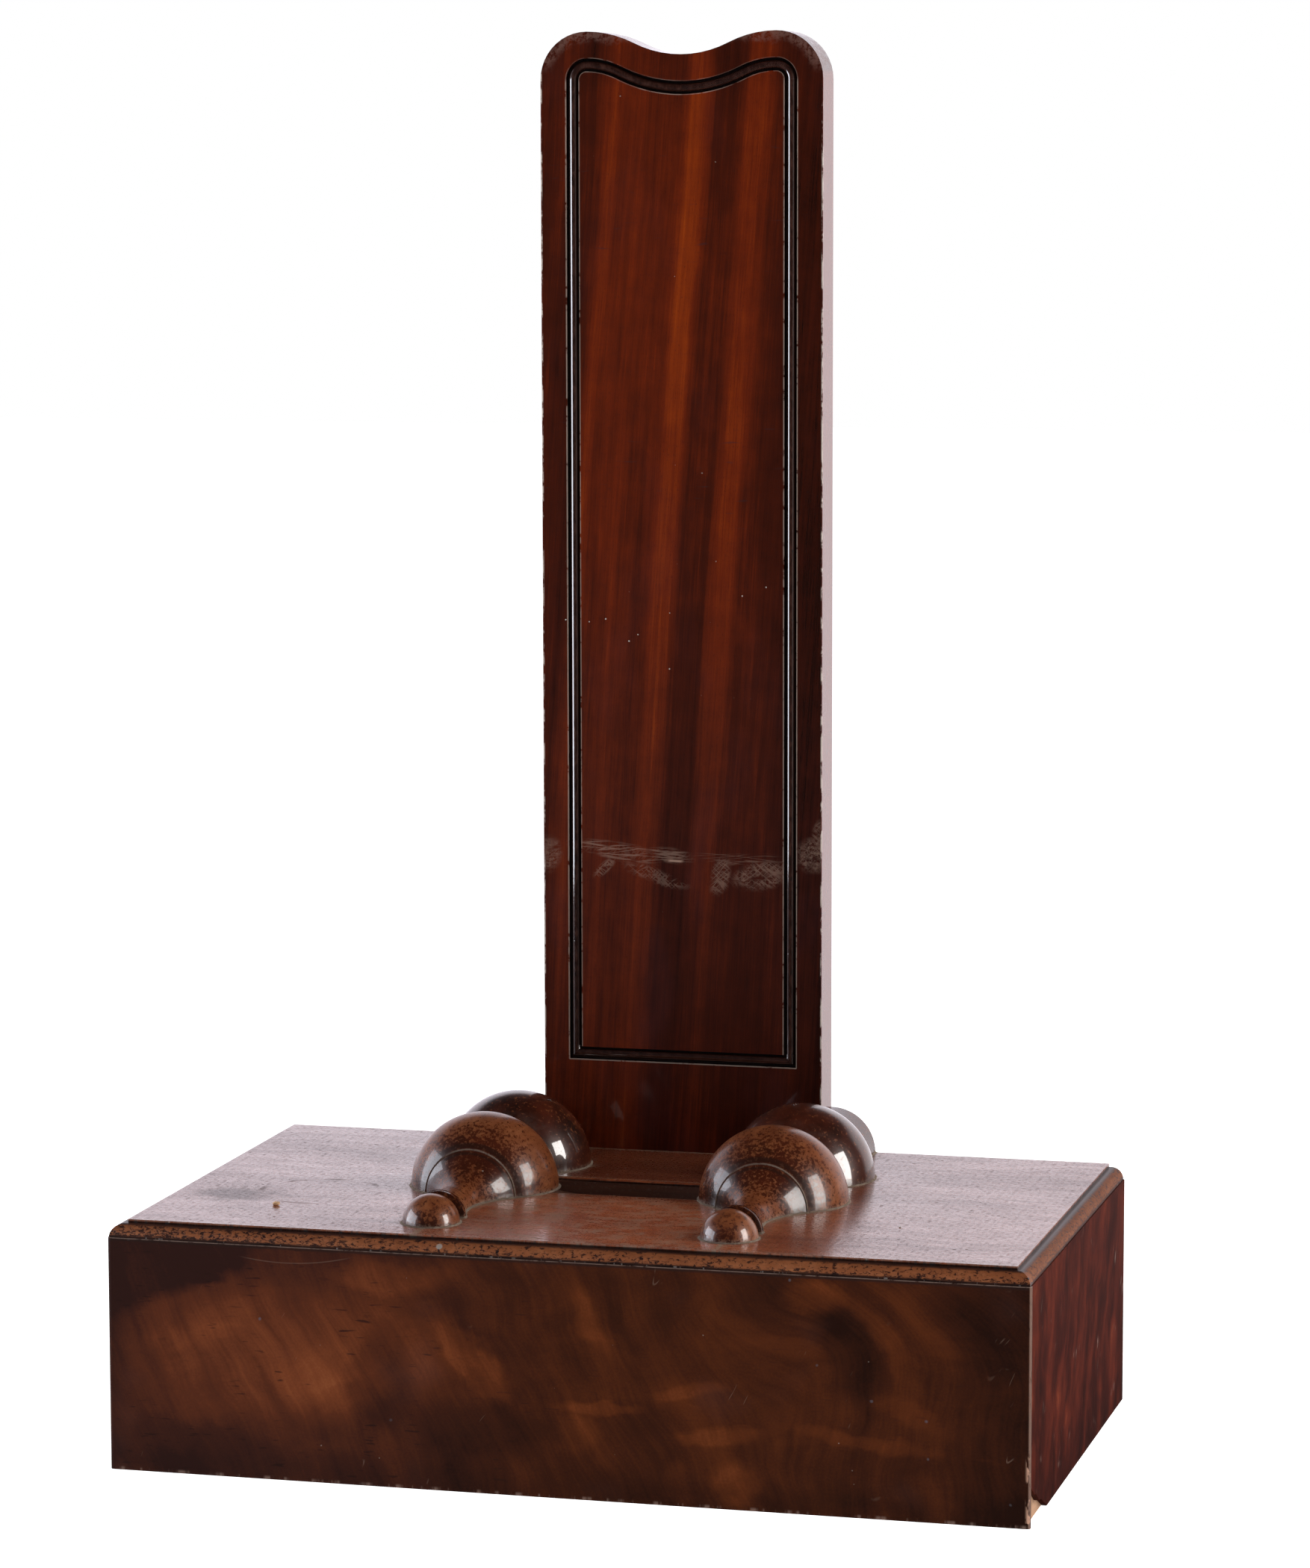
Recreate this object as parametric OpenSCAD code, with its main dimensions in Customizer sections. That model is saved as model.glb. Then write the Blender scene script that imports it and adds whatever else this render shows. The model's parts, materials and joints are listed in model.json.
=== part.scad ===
// Table display stand in mahogany: a veneered box plinth, a tall upright tablet at its
// back, and two half turnings that lie front to back on the top with a trough between them.
// The origin is under the middle of the plinth, +X is to the right and +Y is to the back.

/* [Plinth] */
// Width of the plinth across the front
plinth_w = 450; // [400:5:500]
// Depth of the plinth, front to back
plinth_d = 257.5; // [250:0.5:300]
// Height of the plinth up to its top surface
plinth_h = 121.5; // [100:0.5:150]
// Thickness of the carcase boards
carcase_t = 12; // [10:0.5:14]
// Thickness of the saw-cut veneer on the front and the sides
veneer_t = 2.7; // [2.5:0.1:3]
// Radius worn on the two front arrises
arris_r = 1.8; // [0.5:0.1:2.4]
// Whether the right side veneer has lost its lower front corner
chipped = true; // [true, false]

/* [Top] */
// Thickness of the solid top board
top_t = 18.3; // [14:0.1:24]
// Thickness of the veneer on the top board
top_veneer_t = 1.7; // [1:0.1:2.2]
// Distance from the top's edge to the face of the plinth, front and sides
moulding_inset = 8; // [7.5:0.1:10]
// Radius of the quarter-round edge moulding
ovolo_r = 6; // [5:0.1:6.5]
// How far the moulding's foot is set back from the face of the plinth
moulding_reveal = 0.7; // [0.4:0.1:1]

/* [Trough] */
// Half the length of the trough, whose ends lie under the half turnings
trough_half_l = 50; // [46:0.5:52]
// Position of the trough's front lip
trough_front = -10.5; // [-14:0.5:-8]
// Position of the trough's back lip
trough_back = 28; // [20:0.5:30]
// Depth of the trough at its middle
trough_depth = 10; // [6:0.5:12]
// Radius of the dish that the trough's floor is cut to
dish_r = 300; // [200:10:400]

/* [Upright board] */
// Width of the upright board
board_w = 145.8; // [130:0.2:147]
// Thickness of the upright board
board_t = 23; // [20:0.5:26]
// Height of the two ears above the table
ear_h = 690; // [600:1:800]
// How far the crest dips between the ears
crest_drop = 11.5; // [8:0.5:16]
// Radius of the two upper corners
corner_r = 24; // [22:0.5:28]

/* [Panel moulding] */
// Distance from the board's edge to the sunk moulding
panel_inset = 13.3; // [10:0.1:15]
// Height of the lower outer arris of the sunk moulding above the table
panel_foot = 167.6; // [160:1:220]
// Width of the groove that holds the bead
groove_w = 6.5; // [6:0.1:6.8]
// Depth of the groove
groove_depth = 3.2; // [2.5:0.1:4]
// Radius of the bead
bead_r = 2.05; // [1.6:0.05:2.1]

/* [Half turnings] */
// Distance of each half turning's axis from the middle
turning_x = 73.5; // [73:0.1:80]
// Radius of the ball at the front
ball_r = 13.9; // [12:0.1:15]
// Radius of the narrowest part of the neck
neck_r = 8.3; // [7:0.1:9]
// Radius of the flange where the flare ends
flange_r = 22.4; // [20:0.1:23]
// Largest radius of the two tori
torus_r = 36.9; // [35:0.1:38]
// Radius of each torus where it starts and ends
torus_root_r = 23.3; // [22:0.1:25]
// Radius of the plain drum at the back
drum_r = 22.6; // [21:0.1:24]

/* [Hidden] */
$fn = 96;

show_wood = "saddlebrown";
dark_wood = "maroon";
moulding_wood = "sienna";
inner_wood = "burlywood";
screw_metal = "goldenrod";

// How far a cutting solid runs past the face it cuts
over = 1;

// The plinth's faces and levels
half_w = plinth_w / 2;
front_y = -plinth_d / 2;
back_y = plinth_d / 2;
ground_z = plinth_h - top_veneer_t;
wall_h = ground_z - ovolo_r;
top_under_z = ground_z - top_t;
core_half_w = half_w - veneer_t;
core_front_y = front_y + veneer_t;
inner_half_w = core_half_w - carcase_t;
inner_front_y = core_front_y + carcase_t;
inner_back_y = back_y - carcase_t;
top_half_w = half_w - moulding_inset;
top_front_y = front_y + moulding_inset;

// The corner lost from the right side veneer, along the base and up the arris
chip_l = 41;
chip_h = 19;

// The bevel along the trough's back lip, by how deep it cuts in its middle and at its ends
bevel_half_l = trough_half_l - 1;
bevel_mid = 0.6;
bevel_end = 1.7;
bevel_steps = 8;
bevel_reach = 5;

// The upright board: its tenon is bare-faced, and screwed to the back of the carcase
board_front_y = back_y - board_t;
tenon_half_w = 55;
tenon_l = 75;
ear_x = board_w / 2 - corner_r;
// Each side of the crest is two equal arcs, which meet half way between the ear and the dip
crest_r = (pow(ear_x, 2) + pow(crest_drop, 2)) / (4 * crest_drop);
crest_cos = 1 - crest_drop / (2 * crest_r);
crest_angle = acos(crest_cos);
// The heights of the arcs' centres
corner_z = ear_h - corner_r;
ear_z = ear_h - crest_r;
dip_z = ear_h - crest_drop + crest_r;

// The bead runs along the middle of its groove
bead_inset = panel_inset + groove_w / 2;
bead_base = groove_depth - bead_r;
bead_joint = 0.02;
bead_foot_z = panel_foot + groove_w / 2;

// The stations of a half turning along Y, from the ball in front to the drum
ball_setback = 22.4;
ball_y = front_y + ball_setback + ball_r;
ball_tail = 12.4;
ball_end_y = ball_y + ball_tail;
quirk_r = 8;
quirk_w = 0.8;
ring_y = ball_end_y + quirk_w;
ring_w = 2.4;
ring_r = ball_r - 1.3;
neck_l = 18.5;
neck_y = ring_y + ring_w + neck_l;
flange_w = 1.3;
flange_lip = 0.7;
torus_w = 50;
valley_w = 10.5;
valley_land = 0.4;
valley_r = torus_root_r - 0.6;
torus1_y = -1.5;
torus2_y = torus1_y + torus_w + valley_w;
flange_y = torus1_y - torus_w / 2 - flange_w;
drum_y = torus2_y + torus_w / 2;
drum_ring_r = drum_r + 1;
drum_ring_w = 1.6;
// Arc radii from a chord and its height
torus_rise = torus_r - torus_root_r;
torus_arc_r = (pow(torus_w / 2, 2) + pow(torus_rise, 2)) / (2 * torus_rise);
flare_rise = flange_r - neck_r;
flare_l = flange_y - neck_y;
flare_arc_r = (pow(flare_l, 2) + pow(flare_rise, 2)) / (2 * flare_rise);

// Slotted wood screws
screw_shank_r = 2.1;
screw_head_r = 4.2;
screw_head_h = 2.6;
screw_slot_w = 1;
screw_slot_h = 1.1;
upright_screw_l = 20;
upright_screw_x = 38;
upright_screw_drop = 18;
upright_screw_gap = 38;
turning_screw_bite = 9;
turning_screw_l = top_t + top_veneer_t + turning_screw_bite;
turning_screw_y = [ball_y, torus1_y, torus2_y];

// Rubbed glue blocks
corner_block = 18;
corner_block_h = 88;
top_block = 16;
top_block_l = 50;
top_block_x = [-130, 0, 130];
top_block_y = [-55, 55];

// A block given by its lowest and its highest corner
module block(low, high) {
    translate(low)
        cube(high - low);
}

// A slotted countersunk screw: its head is at the origin and its shank runs along +Z
module screw(length) {
    difference() {
        union() {
            cylinder(h = screw_head_h, r1 = screw_head_r, r2 = screw_shank_r);
            cylinder(h = length, r = screw_shank_r);
        }
        translate([0, 0, screw_slot_h / 2])
            cube([3 * screw_head_r, screw_slot_w, screw_slot_h + 0.01], center = true);
    }
}

// The bore that a screw fills
module screw_bore(length) {
    cylinder(h = screw_head_h, r1 = screw_head_r, r2 = screw_shank_r);
    cylinder(h = length, r = screw_shank_r);
}

// Places its children at each screw that holds the upright board, from behind
module at_upright_screws() {
    for (side = [-1, 1], row = [0, 1])
        translate([
            side * upright_screw_x,
            back_y,
            top_under_z - upright_screw_drop - row * upright_screw_gap
        ])
            rotate([90, 0, 0])
                children();
}

// Places its children at each screw that holds a half turning, from below
module at_turning_screws() {
    for (side = [-1, 1], y = turning_screw_y)
        translate([side * turning_x, y, top_under_z])
            children();
}

// The space that the upright board's tenon fills
module tenon_space() {
    block(
        [-tenon_half_w, board_front_y, plinth_h - tenon_l],
        [tenon_half_w, inner_back_y, plinth_h + over]
    );
}

// The trough, with a floor cut to the curve of a dish's rim
module trough_space() {
    intersection() {
        block(
            [-trough_half_l, trough_front, plinth_h - trough_depth - over],
            [trough_half_l, trough_back, plinth_h + over]
        );
        translate([0, trough_back + over, plinth_h - trough_depth + dish_r])
            rotate([90, 0, 0])
                cylinder(h = trough_back - trough_front + 2 * over, r = dish_r);
    }
}

// The bevel on the trough's back lip, a cut that slopes up and back over a long low arc
module bevel_space() {
    arc = [for (step = [-bevel_steps:bevel_steps])
        let (share = step / bevel_steps)
        [share * bevel_half_l, bevel_mid + (bevel_end - bevel_mid) * pow(share, 2)]];
    translate([0, trough_back, plinth_h])
        rotate([-45, 0, 0])
            linear_extrude(2 * bevel_reach, center = true)
                polygon(concat(
                    [[-bevel_half_l, -bevel_reach]],
                    arc,
                    [[bevel_half_l, -bevel_reach]]
                ));
}

// The solid board of the top, which drops into the carcase and laps over its edges
module plinth_top() {
    color(show_wood)
        difference() {
            union() {
                block(
                    [-inner_half_w, inner_front_y, top_under_z],
                    [inner_half_w, inner_back_y, wall_h]
                );
                block([-top_half_w, top_front_y, wall_h], [top_half_w, back_y, ground_z]);
            }
            trough_space();
            bevel_space();
            tenon_space();
            at_turning_screws()
                screw_bore(turning_screw_l);
        }
}

module top_veneer() {
    color(show_wood)
        difference() {
            block([-top_half_w, top_front_y, ground_z], [top_half_w, back_y, plinth_h]);
            trough_space();
            bevel_space();
            tenon_space();
            at_turning_screws()
                screw_bore(turning_screw_l);
        }
}

// The section of the edge moulding: X runs in from the plinth's face, Y up from its foot
module ovolo_section() {
    centre_x = moulding_reveal + ovolo_r;
    translate([centre_x, 0])
        square([moulding_inset - centre_x, ovolo_r]);
    intersection() {
        translate([centre_x, 0])
            circle(ovolo_r);
        translate([moulding_reveal, 0])
            square([ovolo_r, ovolo_r]);
    }
}

module front_edge_moulding() {
    color(moulding_wood)
        intersection() {
            translate([-half_w, front_y, wall_h])
                rotate([90, 0, 90])
                    linear_extrude(plinth_w)
                        ovolo_section();
            translate([0, 0, wall_h])
                linear_extrude(ovolo_r)
                    polygon([
                        [-half_w, front_y],
                        [half_w, front_y],
                        [top_half_w, top_front_y],
                        [-top_half_w, top_front_y]
                    ]);
        }
}

module side_edge_moulding() {
    intersection() {
        translate([-half_w, back_y, wall_h])
            rotate([90, 0, 0])
                linear_extrude(plinth_d)
                    ovolo_section();
        translate([0, 0, wall_h])
            linear_extrude(ovolo_r)
                polygon([
                    [-half_w, front_y],
                    [-top_half_w, top_front_y],
                    [-top_half_w, back_y],
                    [-half_w, back_y]
                ]);
    }
}

module left_edge_moulding() {
    color(moulding_wood)
        side_edge_moulding();
}

module right_edge_moulding() {
    color(moulding_wood)
        mirror([1, 0, 0])
            side_edge_moulding();
}

module carcase_front() {
    color(inner_wood)
        block([-inner_half_w, core_front_y, 0], [inner_half_w, inner_front_y, wall_h]);
}

module carcase_back() {
    color(inner_wood)
        difference() {
            block([-inner_half_w, inner_back_y, 0], [inner_half_w, back_y, wall_h]);
            at_upright_screws()
                screw_bore(upright_screw_l);
        }
}

module carcase_side() {
    block([-core_half_w, core_front_y, 0], [-inner_half_w, back_y, wall_h]);
}

module carcase_left() {
    color(inner_wood)
        carcase_side();
}

module carcase_right() {
    color(inner_wood)
        mirror([1, 0, 0])
            carcase_side();
}

// The front veneer covers the side veneers' edges, and its own arrises are worn round
module front_veneer() {
    color(dark_wood)
        translate([0, front_y, 0])
            linear_extrude(wall_h) {
                translate([-half_w, arris_r])
                    square([plinth_w, veneer_t - arris_r]);
                translate([-half_w + arris_r, 0])
                    square([plinth_w - 2 * arris_r, veneer_t]);
                for (side = [-1, 1])
                    intersection() {
                        translate([side * (half_w - arris_r), arris_r])
                            circle(arris_r);
                        translate([-half_w, 0])
                            square([plinth_w, arris_r]);
                    }
            }
}

module left_veneer() {
    color(show_wood)
        block([-half_w, core_front_y, 0], [-core_half_w, back_y, wall_h]);
}

// The break in the right veneer runs down in a few long splinters along the grain
module chip_space() {
    translate([core_half_w - over, core_front_y, 0])
        rotate([90, 0, 90])
            linear_extrude(veneer_t + 2 * over)
                polygon([
                    [-over, -over],
                    [-over, chip_h],
                    [0, chip_h],
                    [0.2 * chip_l, 0.72 * chip_h],
                    [0.31 * chip_l, 0.66 * chip_h],
                    [0.5 * chip_l, 0.41 * chip_h],
                    [0.62 * chip_l, 0.37 * chip_h],
                    [chip_l, 0],
                    [chip_l, -over]
                ]);
}

module right_veneer() {
    color(show_wood)
        difference() {
            block([core_half_w, core_front_y, 0], [half_w, back_y, wall_h]);
            if (chipped)
                chip_space();
        }
}

module corner_glue_blocks() {
    color(inner_wood)
        for (side = [-1, 1])
            translate([side * (inner_half_w - corner_block / 2), 0, top_under_z - corner_block_h]) {
                translate([-corner_block / 2, inner_front_y, 0])
                    cube([corner_block, corner_block, corner_block_h]);
                translate([-corner_block / 2, inner_back_y - corner_block, 0])
                    cube([corner_block, corner_block, corner_block_h]);
            }
}

module top_glue_blocks() {
    color(inner_wood) {
        for (x = top_block_x)
            translate([x - top_block_l / 2, inner_front_y, top_under_z - top_block])
                cube([top_block_l, top_block, top_block]);
        for (side = [-1, 1])
            translate([
                side * top_block_x[2] - top_block_l / 2,
                inner_back_y - top_block,
                top_under_z - top_block
            ])
                cube([top_block_l, top_block, top_block]);
        for (side = [-1, 1], y = top_block_y)
            translate([
                side * (inner_half_w - top_block / 2) - top_block / 2,
                y - top_block_l / 2,
                top_under_z - top_block
            ])
                cube([top_block, top_block_l, top_block]);
    }
}

// The outline of the upright board, set in from its edges and cut off at a given height
module tablet_outline(inset, foot) {
    join_x = ear_x * (crest_r + inset) / (2 * crest_r);
    join_z = ear_z + (crest_r - inset) * crest_cos;
    for (flip = [0, 1])
        mirror([flip, 0]) {
            translate([ear_x, foot])
                square([corner_r - inset, corner_z - foot]);
            translate([ear_x, corner_z])
                circle(corner_r - inset);
            translate([join_x, foot])
                square([ear_x - join_x, ear_z - foot]);
            intersection() {
                translate([ear_x, ear_z])
                    circle(crest_r - inset);
                translate([join_x, ear_z])
                    square([ear_x - join_x, crest_r]);
            }
        }
    difference() {
        translate([-join_x, foot])
            square([2 * join_x, join_z - foot]);
        translate([0, dip_z])
            circle(crest_r + inset);
    }
}

module upright_board() {
    color(dark_wood)
        difference() {
            union() {
                translate([0, back_y, 0])
                    rotate([90, 0, 0])
                        linear_extrude(board_t)
                            tablet_outline(0, plinth_h);
                block(
                    [-tenon_half_w, board_front_y, plinth_h - tenon_l],
                    [tenon_half_w, inner_back_y, plinth_h]
                );
            }
            translate([0, board_front_y + groove_depth, 0])
                rotate([90, 0, 0])
                    linear_extrude(groove_depth + over)
                        difference() {
                            tablet_outline(panel_inset, panel_foot);
                            tablet_outline(panel_inset + groove_w, panel_foot + groove_w);
                        }
            at_upright_screws()
                screw_bore(upright_screw_l);
        }
}

// The bead's section: X is across the bead, Y is out of the groove
module bead_section() {
    translate([-bead_r, 0])
        square([2 * bead_r, bead_base]);
    intersection() {
        translate([0, bead_base])
            circle(bead_r);
        translate([-bead_r, 0])
            square([2 * bead_r, groove_depth]);
    }
}

// Puts its children on the groove's floor, with X to the right, Y up and Z out of the board
module on_groove_floor() {
    translate([0, board_front_y + groove_depth, 0])
        rotate([90, 0, 0])
            children();
}

// The left upright run of the bead, mitred at its foot
module side_bead() {
    bead_x = bead_inset - board_w / 2;
    on_groove_floor()
        intersection() {
            translate([bead_x, corner_z, 0])
                rotate([90, 0, 0])
                    linear_extrude(corner_z - panel_foot)
                        bead_section();
            linear_extrude(groove_depth)
                polygon([
                    [bead_x - bead_r, bead_foot_z - bead_r],
                    [bead_x + bead_r, bead_foot_z + bead_r],
                    [bead_x + bead_r, corner_z],
                    [bead_x - bead_r, corner_z]
                ]);
        }
}

module panel_bead_left() {
    color(show_wood)
        side_bead();
}

module panel_bead_right() {
    color(show_wood)
        mirror([1, 0, 0])
            side_bead();
}

module panel_bead_foot() {
    outer_x = board_w / 2 - bead_inset + bead_r;
    inner_x = outer_x - 2 * bead_r;
    color(show_wood)
        on_groove_floor()
            intersection() {
                translate([0, bead_foot_z, 0])
                    rotate([90, 0, 90])
                        linear_extrude(2 * outer_x, center = true)
                            bead_section();
                linear_extrude(groove_depth)
                    polygon([
                        [-outer_x, bead_foot_z - bead_r],
                        [outer_x, bead_foot_z - bead_r],
                        [inner_x, bead_foot_z + bead_r],
                        [-inner_x, bead_foot_z + bead_r]
                    ]);
            }
}

// One bend of the bead, round a centre, from one angle through another, less a hairline joint
module bead_bend(centre, radius, start, turn) {
    joint = asin(bead_joint / radius);
    translate(centre)
        rotate([0, 0, start + joint])
            rotate_extrude(angle = turn - 2 * joint)
                translate([radius, 0])
                    bead_section();
}

// The crest's run of the bead, in five bent strips: corner, ear, dip, ear and corner
module panel_bead_crest() {
    color(show_wood)
        on_groove_floor() {
            bead_bend([0, dip_z], crest_r + bead_inset, 270 - crest_angle, 2 * crest_angle);
            for (flip = [0, 1])
                mirror([flip, 0, 0]) {
                    bead_bend([ear_x, corner_z], corner_r - bead_inset, 0, 90);
                    bead_bend([ear_x, ear_z], crest_r - bead_inset, 90, crest_angle);
                }
        }
}

// Half of a turning's section: X is its radius and Y is its station along the stand
module turning_section() {
    // Ball, with a quirk behind it
    intersection() {
        translate([0, ball_y])
            circle(ball_r);
        translate([0, ball_y - ball_r])
            square([ball_r, ball_r + ball_end_y - ball_y]);
    }
    translate([0, ball_end_y - over])
        square([quirk_r, ring_y - ball_end_y + 2 * over]);
    translate([0, ring_y])
        square([ring_r, ring_w]);
    // Neck and flare, hollowed by one long arc
    difference() {
        translate([0, ring_y + ring_w])
            square([flange_r, flange_y - ring_y - ring_w]);
        translate([neck_r + flare_arc_r, neck_y])
            circle(flare_arc_r);
    }
    translate([0, flange_y])
        square([flange_r + flange_lip, flange_w]);
    // Two tori with a valley between them
    for (y = [torus1_y, torus2_y])
        intersection() {
            translate([torus_r - torus_arc_r, y])
                circle(torus_arc_r);
            translate([0, y - torus_w / 2])
                square([torus_r, torus_w]);
        }
    difference() {
        translate([0, torus1_y + torus_w / 2 - over])
            square([valley_r, valley_w + 2 * over]);
        translate([valley_r, torus1_y + torus_w / 2 + valley_w / 2])
            circle(valley_w / 2 - valley_land);
    }
    // Drum, with a raised ring against the torus
    translate([0, drum_y])
        square([drum_r, back_y - drum_y]);
    translate([0, drum_y])
        square([drum_ring_r, drum_ring_w]);
}

// The right-hand half turning, notched round the side of the upright board
module half_turning() {
    difference() {
        translate([turning_x, 0, plinth_h])
            rotate([90, 0, 0])
                mirror([0, 0, 1])
                    rotate_extrude(angle = 180)
                        turning_section();
        block(
            [turning_x - torus_r, board_front_y, plinth_h - over],
            [board_w / 2, back_y + over, plinth_h + torus_r]
        );
        at_turning_screws()
            screw_bore(turning_screw_l);
    }
}

module left_half_turning() {
    color(show_wood)
        mirror([1, 0, 0])
            half_turning();
}

module right_half_turning() {
    color(show_wood)
        half_turning();
}

module upright_screws() {
    color(screw_metal)
        at_upright_screws()
            screw(upright_screw_l);
}

module turning_screws() {
    color(screw_metal)
        at_turning_screws()
            screw(turning_screw_l);
}

plinth_top();
top_veneer();
front_edge_moulding();
left_edge_moulding();
right_edge_moulding();
carcase_front();
carcase_back();
carcase_left();
carcase_right();
front_veneer();
left_veneer();
right_veneer();
corner_glue_blocks();
top_glue_blocks();
upright_board();
panel_bead_left();
panel_bead_right();
panel_bead_foot();
panel_bead_crest();
left_half_turning();
right_half_turning();
upright_screws();
turning_screws();
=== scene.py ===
"""Looks of the mahogany table display stand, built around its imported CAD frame."""
import json
import math

import bpy
from mathutils import Matrix, Vector, noise


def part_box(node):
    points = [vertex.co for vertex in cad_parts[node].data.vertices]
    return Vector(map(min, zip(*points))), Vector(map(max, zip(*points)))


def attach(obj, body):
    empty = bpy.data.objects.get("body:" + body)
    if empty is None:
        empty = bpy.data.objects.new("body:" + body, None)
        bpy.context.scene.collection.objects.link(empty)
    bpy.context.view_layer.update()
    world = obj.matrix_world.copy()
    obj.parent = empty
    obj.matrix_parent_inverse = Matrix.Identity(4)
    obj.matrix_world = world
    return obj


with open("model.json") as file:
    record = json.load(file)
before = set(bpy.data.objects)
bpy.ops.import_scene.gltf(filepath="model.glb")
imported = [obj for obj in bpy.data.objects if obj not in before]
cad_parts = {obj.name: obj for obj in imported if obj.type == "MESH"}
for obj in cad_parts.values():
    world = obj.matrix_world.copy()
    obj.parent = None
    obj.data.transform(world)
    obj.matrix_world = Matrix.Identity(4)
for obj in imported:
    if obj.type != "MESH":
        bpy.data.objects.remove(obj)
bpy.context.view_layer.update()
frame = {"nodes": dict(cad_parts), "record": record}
nodes = frame["nodes"]


# ---------------------------------------------------------------- node graph
class Val:
    """A number or vector in a node graph, with arithmetic that adds Math nodes."""

    def __init__(self, graph, socket):
        self.g, self.s = graph, socket

    def __add__(self, o): return self.g.math("ADD", self, o)
    def __radd__(self, o): return self.g.math("ADD", o, self)
    def __sub__(self, o): return self.g.math("SUBTRACT", self, o)
    def __rsub__(self, o): return self.g.math("SUBTRACT", o, self)
    def __mul__(self, o): return self.g.math("MULTIPLY", self, o)
    def __rmul__(self, o): return self.g.math("MULTIPLY", o, self)
    def __truediv__(self, o): return self.g.math("DIVIDE", self, o)
    def __pow__(self, o): return self.g.math("POWER", self, o)
    def abs(self): return self.g.math("ABSOLUTE", self, 0)
    def max(self, o): return self.g.math("MAXIMUM", self, o)
    def min(self, o): return self.g.math("MINIMUM", self, o)


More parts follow.
